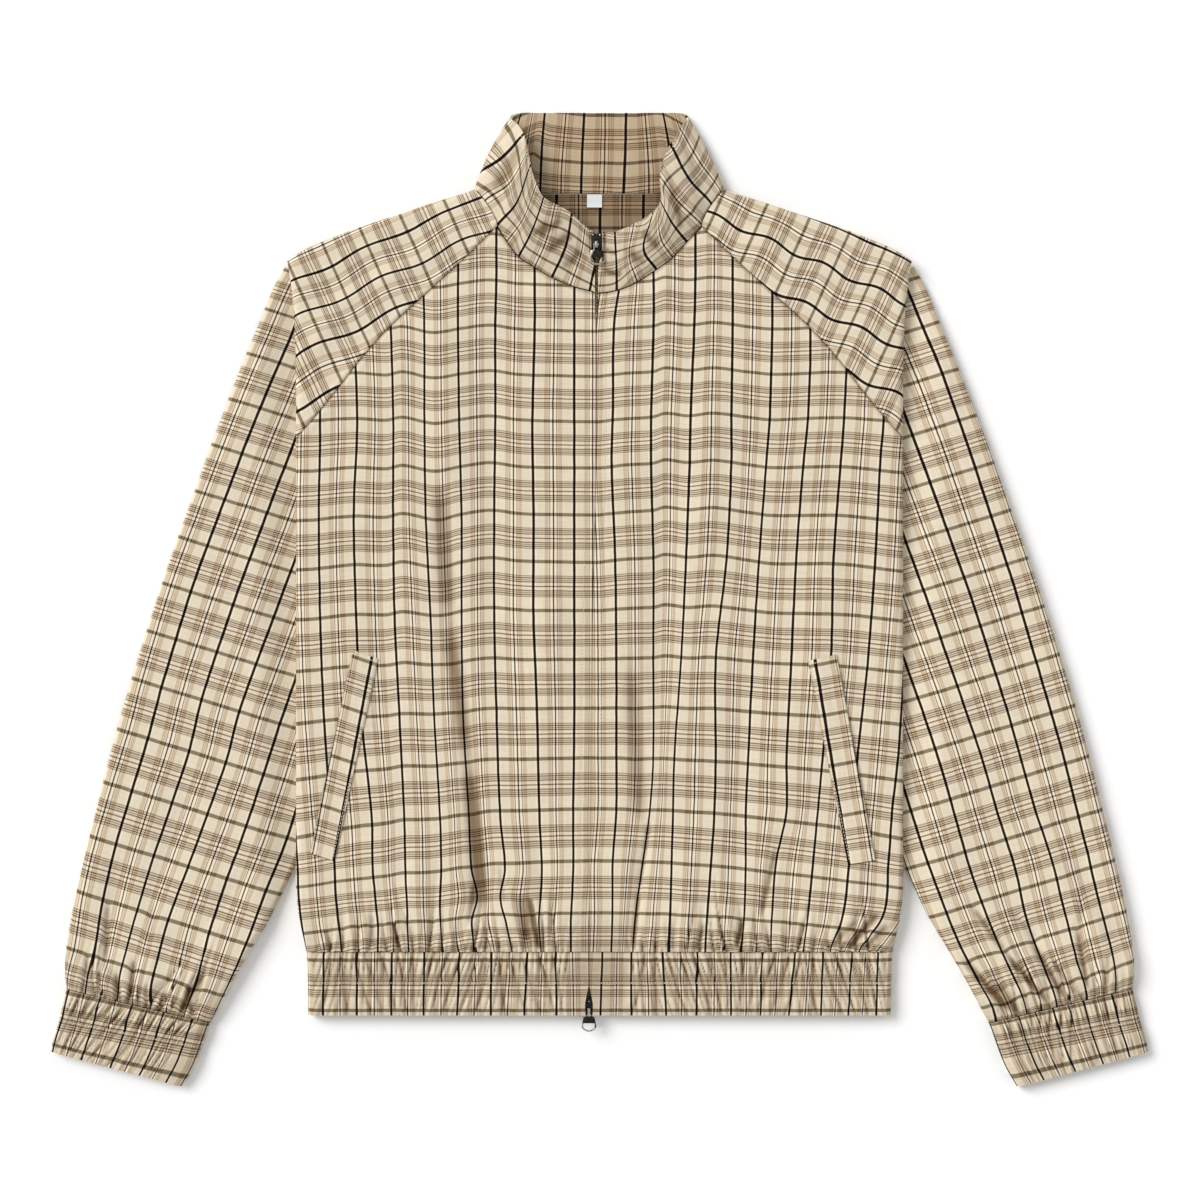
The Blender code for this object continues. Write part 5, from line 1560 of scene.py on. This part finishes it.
def make_label():
    """A bare woven tab, folded at its lower end and hung from the back neck seam."""
    low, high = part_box("size_label")
    rows, columns = LABEL_GRID
    x = spread(low[0] / MM, high[0] / MM, columns)
    y = spread(low[1] / MM, high[1] / MM, rows).T
    share = (y - y[0]) / (y[-1] - y[0])
    z = high[2] / MM + 0.5 * hill(share, 0.16) - 0.1 * hill(share - 0.9, 0.05) + 0 * x
    repeats = np.stack((x / 10 + 0 * y, y / 10 + 0 * x), -1)
    label = finish("satin_label", ribbed_weave)
    wall = (high[2] - low[2]) / MM
    piece = shell("woven_label", np.stack((x + 0 * y, y + 0 * x, z), -1), repeats, wall, (label,))
    dress(piece, "size_label", "label", flat=(0.0126, 0.0112), rests_on=["back_panel_cloth"])


SLIDERS = {                 # the middle of each, and its pale knobs, painted highlights: along X and Y, and how wide
    "top": ((-2.6, 298.5), ((-2.9, 4.9, 2.0), (2.9, 4.9, 2.0))),
    "bottom": ((-8.8, -341.0), ((0.0, 4.4, 1.6),)),
}
PLATE_TOP = 2.9             # a slider's upper face above the middle of the chain
RING_BELOW = {"top": -13.3, "bottom": -13.5}    # where the ring starts, along Y from the slider's middle


def finish_metal(node, name, body, way, past):
    """A copy of a metal node with its edges broken, so that they catch the light.

    Its plating is rubbed through where a face lies more than `past` millimetres along `way`.
    """
    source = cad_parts[node]
    piece = source.copy()
    piece.data = source.data.copy()
    piece.name = name
    bpy.context.scene.collection.objects.link(piece)
    piece.data.materials.clear()
    for coat in ("gunmetal_plating", "rubbed_nickel"):
        piece.data.materials.append(finish(coat, plating))
    pick(piece)
    clean_mesh(0.005, bpy.ops.mesh.dissolve_limited, angle_limit=radians(2))
    apply_modifier(piece, "edges", "BEVEL", width=0.22 * MM, segments=2, limit_method="ANGLE",
                   angle_limit=radians(40))
    bpy.ops.object.shade_smooth_by_angle(angle=radians(35))
    for face in piece.data.polygons:
        face.material_index = int((piece.matrix_world @ face.center).dot(Vector(way)) > past * MM)
    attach(piece, body)
    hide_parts(node)
    return piece


def add_glint_knobs(slider, x, y, glint_knobs):
    """Join pale nickel knobs to a slider's upper plate: painted highlights for its glints."""
    top = float(chain_z(y)) + PLATE_TOP
    for along, up, width in glint_knobs:
        deselect_all()
        bpy.ops.mesh.primitive_uv_sphere_add(segments=16, ring_count=8, radius=width / 2 * MM,
                                             location=Vector((x + along, y + up, top)) * MM)
        bpy.ops.object.shade_smooth()
        bpy.context.object.data.materials.append(finish("rubbed_nickel", plating))
        slider.select_set(True)
        bpy.context.view_layer.objects.active = slider
        bpy.ops.object.join()


# ---------------------------------------------------------------- the studio
SUN_STRENGTH, SUN_WIDTH, SURROUND = 2.35, 32, 0.58      # watts a square metre, degrees, white all round
CAMERA_XY = (0.0004, -0.0008)                           # the photograph's middle, in metres
SENSOR = 36.0


class JacketStageSettings(bpy.types.PropertyGroup):
    camera_height: bpy.props.FloatProperty(
        name="Camera height", description="How far above the floor the camera hangs",
        default=2.38, min=1.0, max=6.0, unit="LENGTH")
    framed_width: bpy.props.FloatProperty(
        name="Framed width", description="How much of the floor the square picture takes in",
        default=1.008, min=0.5, max=3.0, unit="LENGTH")
    light: bpy.props.FloatProperty(
        name="Light", description="Brightness of the sun, as a share of the usual",
        default=1.0, min=0.0, max=4.0, subtype="FACTOR")


class JACKET_OT_stage(bpy.types.Operator):
    """Add the pale floor, the soft light and the camera that looks straight down"""
    bl_idname = "jacket.stage"
    bl_label = "Stage"

    def execute(self, context):
        settings = context.scene.jacket_stage
        deselect_all()
        bpy.ops.mesh.primitive_plane_add(size=8.0, location=(0, 0, 0))
        floor = context.object
        floor.name = "floor"
        floor.data.materials.append(finish("studio_paper", pale_floor))
        bpy.ops.object.light_add(type="SUN", location=(-1.6, 1.0, 1.6))
        key = context.object
        key.name = "key_light"
        key.data.energy = SUN_STRENGTH * settings.light
        key.data.angle = radians(SUN_WIDTH)
        key.rotation_euler = Vector(key.location).to_track_quat("Z", "Y").to_euler()
        world = bpy.data.worlds.new("studio")
        world.use_nodes = True
        background = world.node_tree.nodes["Background"]
        background.inputs["Color"].default_value = (1.0, 1.0, 1.0, 1.0)
        background.inputs["Strength"].default_value = SURROUND
        context.scene.world = world
        context.scene.view_settings.view_transform = "Standard"
        bpy.ops.object.camera_add(location=(*CAMERA_XY, settings.camera_height), rotation=(0, 0, 0))
        camera = context.object
        camera.name = "photo_camera"
        camera.data.sensor_width = SENSOR
        camera.data.lens = SENSOR * settings.camera_height / settings.framed_width
        context.scene.camera = camera
        return {"FINISHED"}


class JACKET_OT_body(bpy.types.Operator):
    """Make the two fronts, the back and the pocket welts"""
    bl_idname = "jacket.body"
    bl_label = "Body"

    def execute(self, context):
        fronts = [make_front(side, f"front_{word}") for word, side in HALVES]
        make_back()
        for (word, side), front in zip(HALVES, fronts):
            make_welt(side, front, f"pocket_welt_{word}")
        return {"FINISHED"}


class JACKET_OT_hem(bpy.types.Operator):
    """Make the gathered hem band"""
    bl_idname = "jacket.hem"
    bl_label = "Hem band"

    def execute(self, context):
        make_hem()
        return {"FINISHED"}


class JACKET_OT_sleeves(bpy.types.Operator):
    """Make the shoulders, arms and cuffs"""
    bl_idname = "jacket.sleeves"
    bl_label = "Sleeves"

    def execute(self, context):
        for word, side in HALVES:
            make_shoulder(side, f"sleeve_{word}_shoulder")
            make_arm(side, f"sleeve_{word}_arm")
            make_cuff(side, f"cuff_{word}")
        return {"FINISHED"}


class JACKET_OT_collar(bpy.types.Operator):
    """Make the stand collar"""
    bl_idname = "jacket.collar"
    bl_label = "Collar"

    def execute(self, context):
        make_collar()
        return {"FINISHED"}


class JACKET_OT_zip(bpy.types.Operator):
    """Make the zip's tapes and teeth, and finish its sliders and pull tabs"""
    bl_idname = "jacket.zip"
    bl_label = "Zip"

    def execute(self, context):
        make_teeth()
        make_tape()
        for end, ((x, y), glint_knobs) in SLIDERS.items():
            bail = float(chain_z(y)) + PLATE_TOP + 0.3
            slider = finish_metal(f"zip_slider_{end}", f"plated_slider_{end}", "jacket", (0, 0, 1), bail)
            add_glint_knobs(slider, x, y, glint_knobs)
            ring = -y - RING_BELOW[end]
            finish_metal(f"zip_pull_{end}", f"plated_pull_{end}", f"pull_{end}", (0, -1, 0), ring)
        return {"FINISHED"}


class JACKET_OT_label(bpy.types.Operator):
    """Make the bare label inside the neck"""
    bl_idname = "jacket.label"
    bl_label = "Label"

    def execute(self, context):
        make_label()
        return {"FINISHED"}


class JACKET_OT_sewing(bpy.types.Operator):
    """Sew the rows of stitches beside the zip, round the pocket welts, and on the bands and the collar"""
    bl_idname = "jacket.sewing"
    bl_label = "Sewing"

    def execute(self, context):
        context.view_layer.update()
        for row, rows_of in zip(STITCHES, (zip_rows, welt_rows, band_rows, collar_rows)):
            thread = finish(row["thread"], sewing_thread, SEWING_THREADS[row["thread"]])
            sizes = (row["long"], row["thick"], row["thick"] * 0.8)
            copies(row["name"], stitch_form(), rows_of(row), sizes, thread)
        return {"FINISHED"}


class JACKET_PT_panel(bpy.types.Panel):
    """Lists the jacket's steps"""
    bl_idname = "JACKET_PT_panel"
    bl_label = "Track jacket"
    bl_space_type = "VIEW_3D"
    bl_region_type = "UI"
    bl_category = "Jacket"

    def draw(self, context):
        for step in STEPS:
            self.layout.operator(step.bl_idname)
        for key in ("camera_height", "framed_width", "light"):
            self.layout.prop(context.scene.jacket_stage, key)


STEPS = (JACKET_OT_stage, JACKET_OT_body, JACKET_OT_hem, JACKET_OT_sleeves, JACKET_OT_collar, JACKET_OT_zip,
         JACKET_OT_label, JACKET_OT_sewing)
CLASSES = (JacketStageSettings,) + STEPS + (JACKET_PT_panel,)


def register():
    for made in CLASSES:
        bpy.utils.register_class(made)
    bpy.types.Scene.jacket_stage = bpy.props.PointerProperty(type=JacketStageSettings)


def unregister():
    del bpy.types.Scene.jacket_stage
    for made in reversed(CLASSES):
        bpy.utils.unregister_class(made)


def main():
    register()
    deselect_all()
    for step in STEPS:
        group, name = step.bl_idname.split(".")
        getattr(getattr(bpy.ops, group), name)()
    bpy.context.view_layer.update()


if __name__ == "__main__":
    main()
